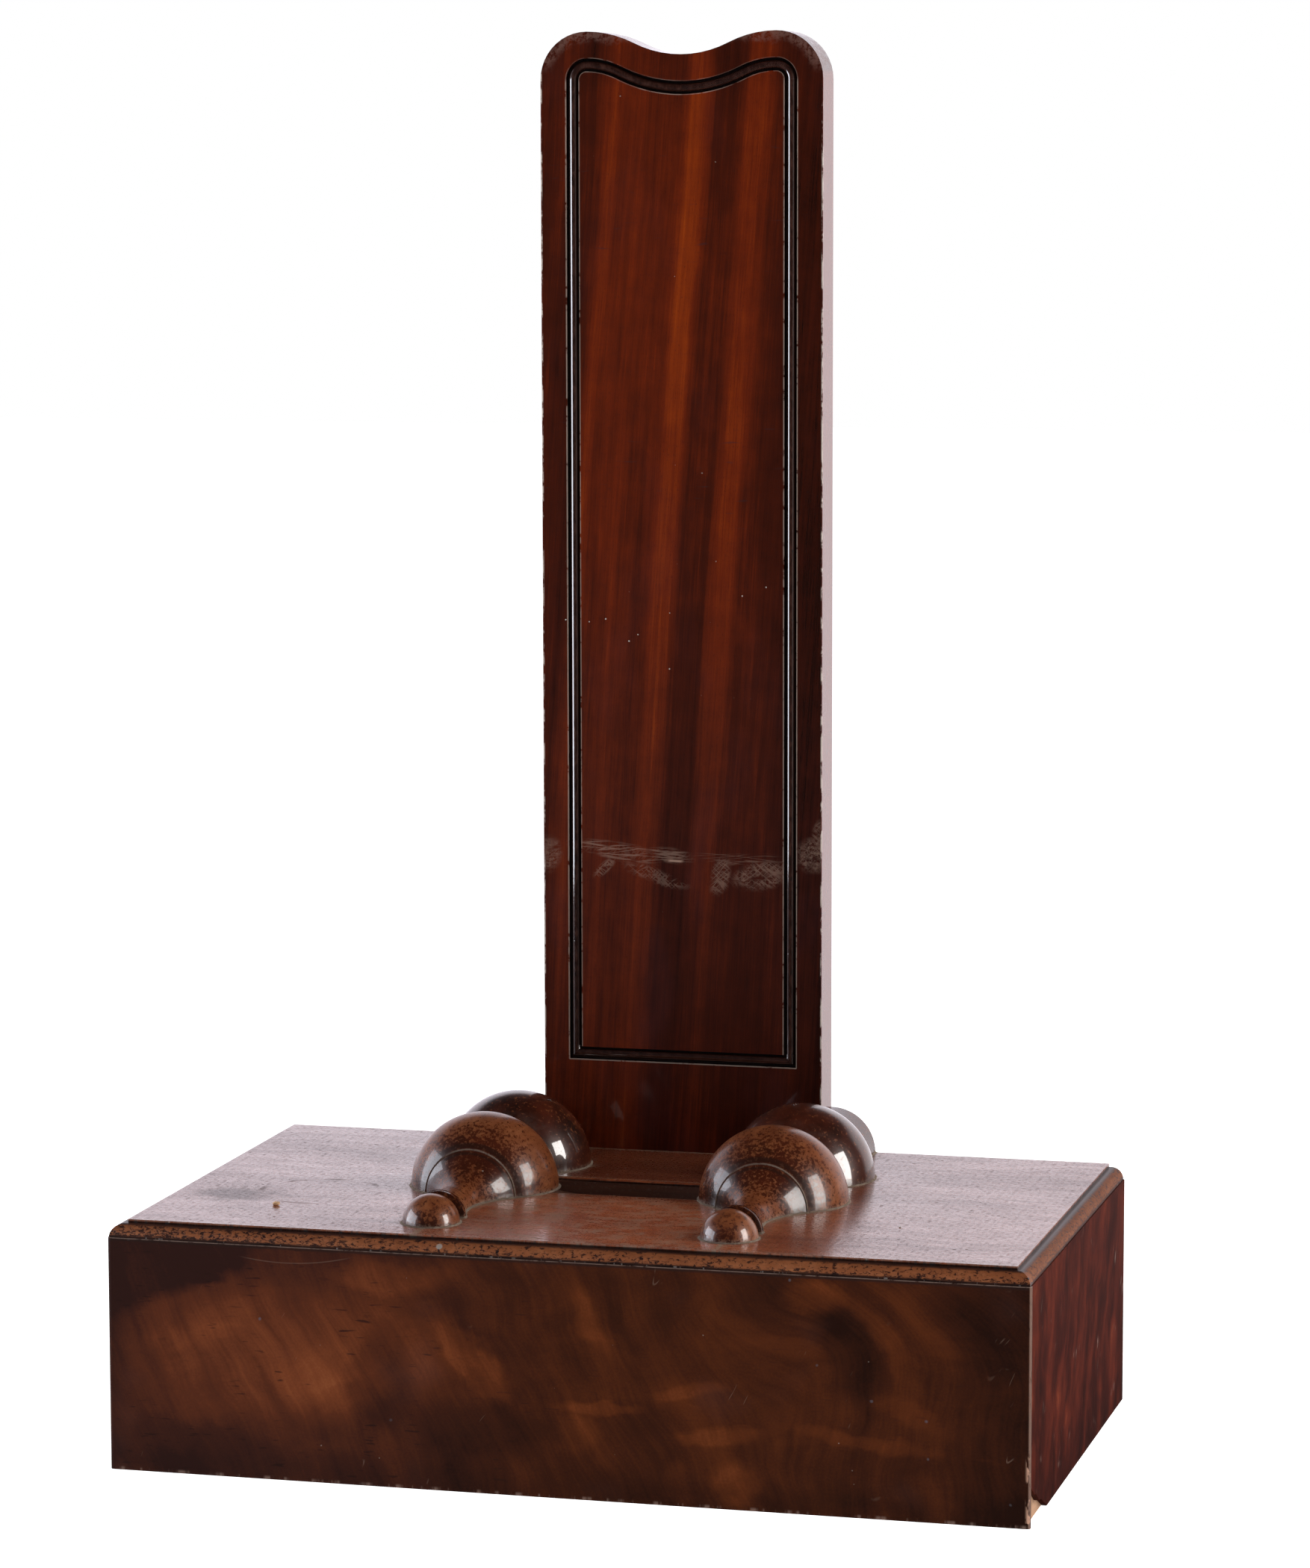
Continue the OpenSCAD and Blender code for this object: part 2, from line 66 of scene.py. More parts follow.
class Graph:
    """One node tree: a Principled material, or a world."""

    def __init__(self, name, world=False):
        block = bpy.data.worlds.new(name) if world else bpy.data.materials.new(name)
        block.use_nodes = True
        self.block, self.tree = block, block.node_tree
        self.tree.nodes.clear()
        if world:
            return
        out = self.tree.nodes.new("ShaderNodeOutputMaterial")
        self.bsdf = self.tree.nodes.new("ShaderNodeBsdfPrincipled")
        self.tree.links.new(self.bsdf.outputs[0], out.inputs[0])
        coord = self.tree.nodes.new("ShaderNodeTexCoord")
        self.pos = Val(self, coord.outputs["Object"])
        self.x, self.y, self.z = self.split(self.pos)

    def put(self, socket, value):
        if isinstance(value, Val):
            self.tree.links.new(value.s, socket)
        elif isinstance(value, (tuple, list)):
            socket.default_value = tuple(value) + (1.0,) * (len(socket.default_value) - len(value))
        else:
            socket.default_value = value

    def split(self, vector):
        n = self.tree.nodes.new("ShaderNodeSeparateXYZ")
        self.put(n.inputs[0], vector)
        return [Val(self, s) for s in n.outputs]

    def vec(self, x=0.0, y=0.0, z=0.0):
        n = self.tree.nodes.new("ShaderNodeCombineXYZ")
        for socket, value in zip(n.inputs, (x, y, z)):
            self.put(socket, value)
        return Val(self, n.outputs[0])

    def math(self, op, a, b=0.0):
        n = self.tree.nodes.new("ShaderNodeMath")
        n.operation = op
        self.put(n.inputs[0], a)
        self.put(n.inputs[1], b)
        return Val(self, n.outputs[0])

    def noise(self, vector, scale=1.0, detail=2.0, rough=0.5, warp=0.0):
        n = self.tree.nodes.new("ShaderNodeTexNoise")
        for key, value in (("Vector", vector), ("Scale", scale), ("Detail", detail),
                           ("Roughness", rough), ("Distortion", warp)):
            self.put(n.inputs[key], value)
        return Val(self, n.outputs[0])

    def stretch(self, x, y, z, detail=2.0, rough=0.5, warp=0.0):
        """Noise at a position whose axes are scaled one by one."""
        return self.noise(self.vec(x, y, z), 1.0, detail, rough, warp)

    def cells(self, vector, scale=1.0):
        """The distance to the nearest cell's middle, and that cell's random colour."""
        n = self.tree.nodes.new("ShaderNodeTexVoronoi")
        n.feature = "F1"
        for key, value in (("Vector", vector), ("Scale", scale), ("Randomness", 1.0)):
            self.put(n.inputs[key], value)
        return Val(self, n.outputs["Distance"]), Val(self, n.outputs["Color"])

    def step(self, value, low, high, top=1.0, bottom=0.0):
        """Smooth step: bottom below low, top above high (low may be the larger one)."""
        n = self.tree.nodes.new("ShaderNodeMapRange")
        n.interpolation_type = "SMOOTHSTEP"
        if low > high:
            low, high, top, bottom = high, low, bottom, top
        for i, v in enumerate((value, low, high, bottom, top)):
            self.put(n.inputs[i], v)
        return Val(self, n.outputs[0])

    def band(self, value, centre, half, soft):
        """1 within half of centre, falling to 0 over soft."""
        return self.step((value - centre).abs(), half + soft, half)

    def ramp(self, value, stops):
        n = self.tree.nodes.new("ShaderNodeValToRGB")
        self.put(n.inputs[0], value)
        elements = n.color_ramp.elements
        for i, (at, colour) in enumerate(stops):
            e = elements[i] if i < 2 else elements.new(at)
            e.position = at
            e.color = (colour,) * 3 + (1,) if isinstance(colour, float) else tuple(colour) + (1,)
        return Val(self, n.outputs[0])

    def mix(self, factor, a, b, mode="MIX"):
        n = self.tree.nodes.new("ShaderNodeMix")
        n.data_type, n.blend_type = "RGBA", mode
        for i, v in ((0, factor), (6, a), (7, b)):
            self.put(n.inputs[i], v)
        return Val(self, n.outputs[2])

    def bump(self, height, distance, strength=1.0, over=None):
        n = self.tree.nodes.new("ShaderNodeBump")
        self.put(n.inputs["Height"], height)
        self.put(n.inputs["Distance"], distance)
        self.put(n.inputs["Strength"], strength)
        if over is not None:
            self.put(n.inputs["Normal"], over)
        return Val(self, n.outputs[0])

    def finish(self, colour, rough, normal=None, coat=0.0, coat_rough=0.05, specular=0.5,
               coat_normal=None, **more):
        self.put(self.bsdf.inputs["Base Color"], colour)
        self.put(self.bsdf.inputs["Roughness"], rough)
        self.put(self.bsdf.inputs["Specular IOR Level"], specular)
        self.put(self.bsdf.inputs["Coat Weight"], coat)
        self.put(self.bsdf.inputs["Coat Roughness"], coat_rough)
        if normal is not None:
            self.put(self.bsdf.inputs["Normal"], normal)
            self.put(self.bsdf.inputs["Coat Normal"],
                     coat_normal if coat_normal is not None else normal)
        for key, value in more.items():
            self.put(self.bsdf.inputs[key.replace("_", " ")], value)
        return self.block


# ---------------------------------------------------------------- positions
_, top_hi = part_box("top_veneer")
board_lo, board_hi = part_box("upright_board")
front_lo, front_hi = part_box("front_veneer")
_, side_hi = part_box("right_veneer")
bead_lo, bead_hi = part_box("panel_bead_foot")
turn_lo, turn_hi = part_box("right_half_turning")
mould_lo, mould_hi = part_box("front_edge_moulding")
openings = {o["name"]: o["box_m"] for o in frame["record"]["physics"]["openings"]}

TOP = top_hi.z  # the plinth's top surface
FACE = board_lo.y  # the upright board's front face
TURN_X = (turn_lo.x + turn_hi.x) / 2  # the right half turning's axis; the left one mirrors it
OPENING_GAP = 0.0005  # between the record's opening and the trough's lips
LIP_FRONT = openings["trough"][0][1] - OPENING_GAP
LIP_BACK = openings["trough"][1][1] + OPENING_GAP

EAR_R, CREST_DROP = 0.024, 0.0115  # the board's corner radius, and how far its crest dips
GROOVE_GAP = 0.0012  # between the panel bead and either side of its groove
INNER_ARRIS = 0.0053  # from the bead's outer side to the groove's inner arris
TURN_AHEAD, TURN_SPAN = 0.110, 0.240  # the turnings' ramps: start ahead of y = 0, and length
RADIUS_SCALE = 20  # brings a turning's radius in metres into a ramp's range of 0 to 1
GRAIN_ARCH = 17.5  # how fast the front veneer's arched grain turns away from upright


# ---------------------------------------------------------------- materials
def pores(g, along, across, length, width, level=0.6, soft=0.06, seed=0.0):
    """Short dark dashes of open pores, running along the grain."""
    n = g.stretch(across / width, along / length, seed, 1.0, 0.5)
    return g.step(n, level, level + soft)


def specks(g, pitch, share, seed=0.0, small=0.08, large=0.20):
    """Specks in a share of the cells of size pitch: 1 inside a speck, 0 elsewhere."""
    wob = g.noise(g.pos, 3.0 / pitch, 1.0) - 0.5
    near, pick = g.cells(g.vec(g.x + wob * pitch * 0.12 + seed, g.y, g.z), 1.0 / pitch)
    red, green, _ = g.split(pick)
    radius = small + (large - small) * green
    return g.step(near - radius, 0.03, -0.03) * g.step(red, 1.0 - share, 1.001 - share)


def strokes(g, a, b, angle, along, across, seed, half=0.045):
    """Thin scratches, leaning by an angle in the a-b plane: level lines of a stretched noise."""
    c, s = math.cos(math.radians(angle)), math.sin(math.radians(angle))
    n = g.stretch((a * c + b * s) * along, seed, (b * c - a * s) * across, 1.0, 0.4)
    return g.band(n, 0.5, half * 0.4, half)


def spot(g, a, b, at_a, at_b, half_a, half_b, angle=0.0, soft=0.5):
    """A soft ellipse in the a-b plane: 1 in its middle, 0 outside."""
    c, s = math.cos(math.radians(angle)), math.sin(math.radians(angle))
    u = ((a - at_a) * c + (b - at_b) * s) / half_a
    v = ((b - at_b) * c - (a - at_a) * s) / half_b
    return g.step((u * u + v * v) ** 0.5, 1.0 + soft, 1.0 - soft)


def crest_line(g, inset, half, soft):
    """A thin line set in from the board's serpentine crest: 1 on it, 0 elsewhere."""
    near = 0.0001  # each arc ends softly over this much on either side of its join
    ear_x, corner_z = board_hi.x - EAR_R, board_hi.z - EAR_R
    radius = (ear_x * ear_x + CREST_DROP * CREST_DROP) / (4 * CREST_DROP)
    join_x = ear_x * (radius + inset) / (2 * radius)
    ax = g.x.abs()

    def ring(cx, cz, r):
        dx, dz = ax - cx, g.z - cz
        return g.band((dx * dx + dz * dz) ** 0.5, r, half, soft)

    corner = ring(ear_x, corner_z, EAR_R - inset) * g.step(ax, ear_x - near, ear_x + near)
    corner = corner * g.step(g.z, corner_z - near, corner_z + near)
    ear = ring(ear_x, board_hi.z - radius, radius - inset)
    ear = ear * g.step(ax, ear_x + near, ear_x - near) * g.step(ax, join_x - near, join_x + near)
    ear = ear * g.step(g.z, corner_z - 0.030, corner_z - 0.028)
    dip = ring(0.0, board_hi.z - CREST_DROP + radius, radius + inset)
    dip = dip * g.step(ax, join_x + near, join_x - near)
    dip = dip * g.step(g.z, board_hi.z + 0.002, board_hi.z)
    return corner.max(ear).max(dip)


def station(y):
    """Where y lies along a half turning, in its ramps' range of 0 to 1."""
    return (y + TURN_AHEAD) / TURN_SPAN


def turning_radius(g, y):
    """The radius of a half turning at each station along its axis."""
    stops = [(-0.1063, 0.0), (-0.1050, 0.0060), (-0.1010, 0.0108), (-0.0924, 0.0138),
             (-0.0840, 0.0110), (-0.0790, 0.0125), (-0.0760, 0.0094), (-0.0584, 0.0083),
             (-0.0400, 0.0140), (-0.0280, 0.0226), (-0.0200, 0.0307), (-0.0015, 0.0368),
             (0.0180, 0.0290), (0.0288, 0.0180), (0.0400, 0.0290), (0.0590, 0.0368),
             (0.0790, 0.0290), (0.0850, 0.0230), (0.1290, 0.0226)]
    return g.ramp(station(y), [(station(at), r * RADIUS_SCALE) for at, r in stops]) / RADIUS_SCALE


def upright_material():
    g = Graph("ribbon_mahogany")
    x, y, z = g.x, g.y, g.z
    wander = g.stretch(x * 8, 0.0, z * 2.2, 2.0) - 0.5
    u = x - 0.07 * (z - 0.548) + wander * 0.014
    bands = g.ramp((u + 0.080) / 0.160, [
        (0.00, 0.42), (0.08, 0.50), (0.155, 0.28), (0.19, 0.44), (0.22, 0.86), (0.265, 0.58),
        (0.33, 0.66), (0.41, 0.50), (0.455, 0.56), (0.48, 0.96), (0.52, 0.86), (0.555, 0.40),
        (0.63, 0.34), (0.665, 0.78), (0.715, 0.84), (0.76, 0.50), (0.84, 0.40), (0.92, 0.26),
        (1.00, 0.22)])
    slow = g.stretch(x * 24, y * 24, z * 3.0, 3.0, 0.55)
    streak = g.stretch(u * 420, y * 420, z * 7.0, 3.0, 0.6)
    fine = g.stretch(u * 1700, y * 1700, z * 45.0, 2.0, 0.6)
    mottle = g.stretch(x * 85, y * 85, z * 60, 3.0, 0.6)
    upper = g.step(z, 0.26, 0.46)
    tone = (0.12 + bands * (0.34 + upper * 0.38) + (slow - 0.5) * 0.62 + (streak - 0.5) * 0.42
            + (fine - 0.5) * 0.32)
    border = g.step(x.abs(), 0.0595, 0.0605).max(g.step(z, board_hi.z - 0.034, board_hi.z - 0.020))
    tone = (tone + (mottle - 0.5) * 0.30 - g.step(x, 0.040, 0.074) * 0.06
            - upper * (0.11 + border * 0.08))
    tone = tone.max(0.0)
    colour = g.ramp(tone, [(0.0, (0.018, 0.0032, 0.0016)), (0.28, (0.052, 0.0078, 0.0028)),
                           (0.55, (0.122, 0.0165, 0.0034)), (0.80, (0.215, 0.0360, 0.0048)),
                           (1.0, (0.320, 0.0680, 0.0090))])
    colour = g.mix(upper, colour, (0.95, 0.76, 0.30), "MULTIPLY")
    hole = pores(g, z, u, 0.0022, 0.00016, 0.64, 0.06)
    colour = g.mix(hole * 0.6, colour, (0.010, 0.003, 0.0015))
    # bloom in the polish
    bloom = g.step(g.stretch(x * 30, y * 30, z * 14, 3.0), 0.52, 0.74) * (0.12 - upper * 0.09)
    colour = g.mix(bloom, colour, (0.090, 0.028, 0.038))
    face = g.band(y, FACE, 0.0006, 0.0004)
    # the outer corners of the ears are paler in a narrow rim, from wear and painted highlight
    corner_x, corner_z = board_hi.x - EAR_R, board_hi.z - EAR_R
    ax, az = (x.abs() - corner_x).max(0.0), (z - corner_z).max(0.0)
    rim = (ax * ax + az * az) ** 0.5 + (g.noise(g.pos, 160, 3.0, 0.7) - 0.5) * 0.008
    ear = g.step(rim, 0.0170, 0.0225) * g.step(z, corner_z + 0.002, corner_z + 0.010)
    ear = ear * g.step(g.noise(g.pos, 420, 3.0, 0.7), 0.36, 0.58)
    colour = g.mix(ear * 0.55, colour, (0.165, 0.088, 0.070))
    # scratches across the face where the dish's rim has rubbed
    wob = g.stretch(x * 60, 0.0, z * 60, 2.0) - 0.5
    long_a = strokes(g, x, z, -5, 16, 300, 0.0, 0.022)
    long_b = strokes(g, x, z, 6, 20, 360, 4.0, 0.022)
    short_a = strokes(g, x, z, 42, 60, 420, 9.0, 0.032)
    short_b = strokes(g, x, z, -40, 60, 420, 14.0, 0.032)
    worn = g.stretch(x * 70, 3.0, z * 300, 3.0, 0.7)
    film = g.stretch(x * 520, 1.0, z * 520, 3.0, 0.7)
    film = g.step(film, 0.42, 0.62)
    # each worn place: its middle, half size and lean, then how much it has of the long strokes,
    # of the short strokes and of film
    scuff = 0.0
    for cx, cz, rx, rz, angle, flat, steep, mat in (
            (-0.034, 0.2755, 0.022, 0.0042, -8, 0.50, 0.14, 0.03),
            (-0.006, 0.2745, 0.012, 0.0036, -4, 0.44, 0.14, 0.06),
            (0.028, 0.2740, 0.026, 0.0026, 0, 0.26, 0.0, 0.02),
            (-0.014, 0.2640, 0.016, 0.0034, -18, 0.12, 0.26, 0.02),
            (-0.041, 0.2670, 0.0065, 0.0024, 42, 0.06, 0.36, 0.03),
            (0.0205, 0.2650, 0.0048, 0.0088, -14, 0.10, 0.40, 0.20),
            (0.0410, 0.2655, 0.0125, 0.0064, 12, 0.12, 0.42, 0.30),
            (-0.0710, 0.2735, 0.0065, 0.0085, 0, 0.22, 0.22, 0.36),
            (0.0690, 0.2770, 0.0080, 0.0080, 24, 0.18, 0.26, 0.42),
            (0.0715, 0.2880, 0.0035, 0.0060, 0, 0.10, 0.30, 0.20)):
        place = spot(g, x + wob * 0.005, z + wob * 0.004, cx, cz, rx, rz, angle, 0.35)
        marks = (long_a.max(long_b) * flat).max(short_a.max(short_b) * steep).max(film * mat)
        scuff = (place * marks).max(scuff)
    scuff = scuff * g.step(worn, 0.30, 0.52)
    dash = (g.band(z + wob * 0.001, 0.2718, 0.0002, 0.0007) * g.band(x, -0.0035, 0.0022, 0.0030)
            * g.step(worn, 0.34, 0.48))
    scuff = (scuff * 0.75).max(dash * 0.80) * face
    colour = g.mix(scuff, colour, (0.380, 0.250, 0.190))
    # splashes and tiny chips in the polish
    zone = g.band(z, 0.392, 0.018, 0.02) * face
    dots = specks(g, 0.0042, 0.14, 0.3, 0.07, 0.14) * zone
    dust = specks(g, 0.0070, 0.07, 3.3, 0.03, 0.07) * face
    colour = g.mix(dots.max(dust * 0.55), colour, (0.50, 0.46, 0.42))
    bruise = g.step(g.stretch(x * 55, 2.0, z * 420, 2.0), 0.66, 0.76)
    bruise = bruise * g.band(z, 0.600, 0.020, 0.03).max(g.band(z, 0.470, 0.014, 0.02))
    colour = g.mix(bruise * 0.6 * face, colour, (0.024, 0.016, 0.020))
    # groove arrises pale from wear and painted highlight; the groove holds dark polish and dirt
    outer_x, outer_z = bead_hi.x + GROOVE_GAP, bead_lo.z - GROOVE_GAP
    inner_x, inner_z = bead_hi.x - INNER_ARRIS, bead_hi.z + GROOVE_GAP
    broken = g.stretch(x * 260, y * 260, z * 260, 3.0, 0.6)
    line = (g.band(x.abs(), outer_x + 0.0002, 0.00022, 0.00016)
            * g.step(z, outer_z - 0.0004, outer_z))
    line = line.max(g.band(x.abs(), inner_x - 0.0002, 0.00020, 0.00016)
                    * g.step(z, inner_z - 0.0002, inner_z + 0.0002) * 0.8)
    line = line * g.step(z, board_hi.z - 0.022, board_hi.z - 0.026)
    # along the crest the groove's outer and inner side, this far in from the board's edge
    bent = crest_line(g, 0.0131, 0.00012, 0.00016) * 0.5
    bent = bent.max(crest_line(g, 0.0200, 0.00014, 0.00016))
    gaps = g.step(g.stretch(x * 60, 0.0, z * 60, 3.0, 0.6), 0.46, 0.62)
    # pale lines along the crest: partly wear, partly painted highlight
    line = line.max(bent * (0.30 + gaps * 0.5))
    # a pale line on the foot run's outer arris: partly dust, partly painted highlight
    foot = (g.band(z, outer_z - 0.0002, 0.00024, 0.00016)
            * g.step(x.abs(), outer_x + 0.0004, outer_x))
    line = line.max(foot) * g.step(broken, 0.34, 0.46) * face
    colour = g.mix(line * 0.55, colour, (0.40, 0.33, 0.28))
    sunk = g.step(y, FACE + 0.0008, FACE + 0.0014) * g.step(y, FACE + 0.0050, FACE + 0.0040)
    inside = g.step(x.abs(), board_hi.x - 0.004, board_hi.x - 0.008)
    colour = g.mix(sunk * inside * 0.95, colour, (0.006, 0.0035, 0.003))
    # side faces: the same polish, more worn
    side = g.step(x.abs(), board_hi.x - 0.0006, board_hi.x - 0.0001)
    nick = pores(g, z, y, 0.0030, 0.0010, 0.70, 0.03, 5.0) * side
    colour = g.mix(side * 0.7, colour, (0.150, 0.040, 0.030))
    colour = g.mix(nick * 0.8, colour, (0.03, 0.018, 0.016))
    # pale front arrises at the sides: partly wear, partly painted highlight
    arris = (g.step(x.abs(), board_hi.x - 0.0009, board_hi.x - 0.0004)
             * g.band(y, FACE, 0.0005, 0.0004))
    wear = g.step(g.stretch(x * 300, y * 300, z * 110, 4.0, 0.7), 0.46, 0.58)
    colour = g.mix(arris * wear * 0.85, colour, (0.60, 0.52, 0.46))
    rough = 0.36 + scuff * 0.30 + bloom * 0.4 + side * 0.08
    height = g.stretch(u * 500, y * 500, z * 20, 2.0)
    ripple = g.stretch(x * 28, y * 28, z * 12, 1.0)
    under = g.bump(height * 0.5 + (1.0 - hole) * 0.5, 0.00005, 0.35)
    over = g.bump(ripple + (1.0 - hole) * 0.010 + (1.0 - nick) * 0.4, 0.0012, 0.08)
    dull = g.step(z, 0.215, 0.165) * face * 0.72
    coat = (0.9 - scuff * 0.8 - ear * 0.4 - line * 0.3 - dull).max(0.0)
    return g.finish(colour, rough, under, coat=coat, coat_rough=0.05, specular=0.06,
                    coat_normal=over)


def flame_material():
    g = Graph("flame_mahogany")
    x, y, z = g.x, g.y, g.z
    warp = g.stretch(x * 10, 0.0, z * 14, 2.0) - 0.5
    warp2 = g.stretch(x * 34, 5.0, z * 40, 3.0, 0.6) - 0.5
    curl = g.stretch(x * 90, 8.0, z * 110, 3.0, 0.65) - 0.5
    px, pz = x + warp2 * 0.020 + curl * 0.008, z + warp * 0.010 + warp2 * 0.010 + curl * 0.007
    # the grain leans to the left going up, and arches over right of the middle
    low = (z - 0.062).max(0.0)
    arch = x + low * low * GRAIN_ARCH
    right = g.step(x, 0.070, 0.135)
    lean = (x + z * 0.50) * (1.0 - right) + arch * right + warp * 0.034 + warp2 * 0.004
    streak = g.stretch(lean * 110, 1.0, z * 8, 3.0, 0.6)
    broad = g.stretch(lean * 30, 7.0, z * 9, 3.0, 0.55, 0.4)
    fine = g.stretch(lean * 560, 3.0, z * 50, 2.0, 0.6)
    grain = g.stretch(x * 900, 2.0, z * 900, 1.0)
    cloud = g.stretch(x * 20, 9.0, z * 30, 4.0, 0.62, 0.6)
    tone = (0.30 + (broad - 0.5) * 0.50 + (streak - 0.5) * 0.30 + (fine - 0.5) * 0.20
            + (grain - 0.5) * 0.16)
    tone = tone + (cloud - 0.5) * 0.42
    lit = 0.40 + streak * 0.60 + cloud * 0.65
    # light and dark patches of the figure: position, size, lean and how much lighter
    for cx, cz, rx, rz, angle, much in (
            (-0.134, 0.060, 0.066, 0.030, 6, 0.30), (-0.178, 0.080, 0.044, 0.013, 21, 0.14),
            (-0.112, 0.050, 0.022, 0.016, 0, 0.12), (-0.084, 0.102, 0.028, 0.008, 2, 0.24),
            (-0.044, 0.066, 0.026, 0.008, -48, 0.22), (-0.088, 0.052, 0.015, 0.024, -8, -0.20),
            (-0.176, 0.0965, 0.010, 0.0025, 0, -0.22), (-0.190, 0.014, 0.036, 0.014, 0, -0.14),
            (-0.040, 0.030, 0.030, 0.014, 0, -0.10), (0.008, 0.032, 0.010, 0.010, 0, 0.13),
            (0.015, 0.087, 0.015, 0.006, -58, 0.12), (0.122, 0.103, 0.013, 0.007, -8, 0.20),
            (0.139, 0.078, 0.014, 0.021, 8, -0.15), (0.064, 0.0555, 0.017, 0.0030, 8, 0.12),
            (0.075, 0.034, 0.020, 0.0036, 6, 0.16), (0.020, 0.045, 0.020, 0.0030, 2, 0.18),
            (0.147, 0.037, 0.034, 0.0034, -5, 0.14), (0.166, 0.052, 0.016, 0.0060, -12, 0.10),
            (0.059, 0.010, 0.009, 0.010, 10, 0.12), (0.085, 0.012, 0.010, 0.010, 0, 0.18)):
        tone = tone + spot(g, px, pz, cx, cz, rx, rz, angle, 0.42) * lit * much
    bow = (g.band(px + low * low * GRAIN_ARCH, 0.168, 0.003, 0.007) * g.step(z, 0.044, 0.060)
           * g.step(z, 0.112, 0.100))
    wedge = g.step(pz - 0.0743 - (x + 0.2225) * 0.397, -0.002, 0.006) * g.step(px, -0.146, -0.158)
    tone = tone + bow * 0.13 - wedge * 0.26 - g.step(px, 0.172, 0.214) * 0.15
    tone = tone - g.step(z, 0.020, 0.004) * 0.08 - g.step(x, -0.212, -0.224) * 0.16
    lick = g.stretch(x * 26 + z * 12, 3.0, z * 130, 2.0, 0.5, 0.5)
    lick = g.step(lick, 0.60, 0.72) * g.band(z, 0.042, 0.014, 0.012) * g.step(x, -0.02, 0.05)
    tone = (tone + lick * 0.12).max(0.05)
    colour = g.ramp(tone, [(0.0, (0.012, 0.0034, 0.0016)), (0.25, (0.044, 0.0098, 0.0024)),
                           (0.50, (0.096, 0.0210, 0.0036)), (0.75, (0.180, 0.0440, 0.0095)),
                           (1.0, (0.290, 0.0850, 0.0240))])
    colour = g.mix(g.step(x, 0.02, -0.15) * 0.10, colour, (0.110, 0.042, 0.044))
    # short level flecks of dark end grain
    fleck = g.stretch(x * 90, 6.0, z * 620, 1.0)
    where = g.step(g.stretch(x * 22, 4.0, z * 30, 1.0), 0.44, 0.56)
    fleck = g.step(fleck, 0.64, 0.72) * where
    colour = g.mix(fleck * g.step(x, 0.02, -0.06, 1.0, 0.3) * 0.75, colour, (0.018, 0.007, 0.005))
    bloom = g.step(g.stretch(x * 20, 8.0, z * 24, 2.0), 0.58, 0.80) * 0.12
    colour = g.mix(bloom, colour, (0.110, 0.050, 0.045))
    scratch = strokes(g, x, z, 62, 30, 130, 6.0, 0.010)
    scratch = scratch * g.step(g.stretch(x * 40, 2.0, z * 60, 2.0, 0.6), 0.64, 0.72)
    bent = (x + 0.135) * (x + 0.135)
    hair = g.band(z - bent * 4.0, 0.1060, 0.0001, 0.0003) * g.band(x, -0.130, 0.020, 0.010)
    colour = g.mix((scratch * 1.6).max(hair) * 0.16, colour, (0.300, 0.200, 0.150))
    dot = specks(g, 0.0072, 0.16, 0.7, 0.030, 0.080)
    blue = specks(g, 0.0130, 0.09, 4.1, 0.05, 0.10)
    colour = g.mix(dot * 0.6, colour, (0.36, 0.30, 0.26))
    colour = g.mix(blue * 0.6, colour, (0.100, 0.098, 0.115))
    # arrises: dark polish built up under the moulding; corners pale with wear and painted highlight
    top_edge = g.step(z, front_hi.z - 0.0020, front_hi.z - 0.0010)
    line = g.step(g.stretch(x * 200, y * 200, z * 160, 4.0, 0.7), 0.32, 0.54)
    colour = g.mix(top_edge * 0.75, colour, (0.020, 0.010, 0.008))
    rim = g.step(z, front_hi.z - 0.0005, front_hi.z - 0.0002)
    colour = g.mix(rim * line * 0.50, colour, (0.280, 0.195, 0.160))
    corner = g.step(x, front_hi.x - 0.0011, front_hi.x - 0.0006)
    wear = g.step(g.stretch(x * 400, y * 400, z * 120, 4.0, 0.75), 0.30, 0.50)
    colour = g.mix(corner * (0.10 + wear * 0.40), colour, (0.300, 0.190, 0.150))
    chip = g.step(z, 0.036, 0.030) * g.step(x, front_hi.x - 0.0026, front_hi.x - 0.0010)
    chip = chip * g.step(g.stretch(x * 240, 0.0, z * 95, 3.0, 0.6), 0.55, 0.62)
    colour = g.mix(chip * 0.9, colour, (0.47, 0.27, 0.19))
    where = g.step(g.stretch(x * 120, 0.0, 0.0, 3.0, 0.7), 0.50, 0.62)
    foot = g.step(z, 0.0022, 0.0008) * where
    colour = g.mix(foot * 0.45, colour, (0.30, 0.20, 0.16))
    ripple = g.stretch(x * 18, y * 18, z * 22, 2.0)
    under = g.bump(grain * 0.3 + fine * 0.7, 0.00006, 0.4)
    over = g.bump(ripple + dot * 0.15 - blue * 0.1, 0.0012, 0.08)
    return g.finish(colour, 0.40 + bloom * 0.3, under, coat=0.85, coat_rough=0.06, specular=0.06,
                    coat_normal=over)


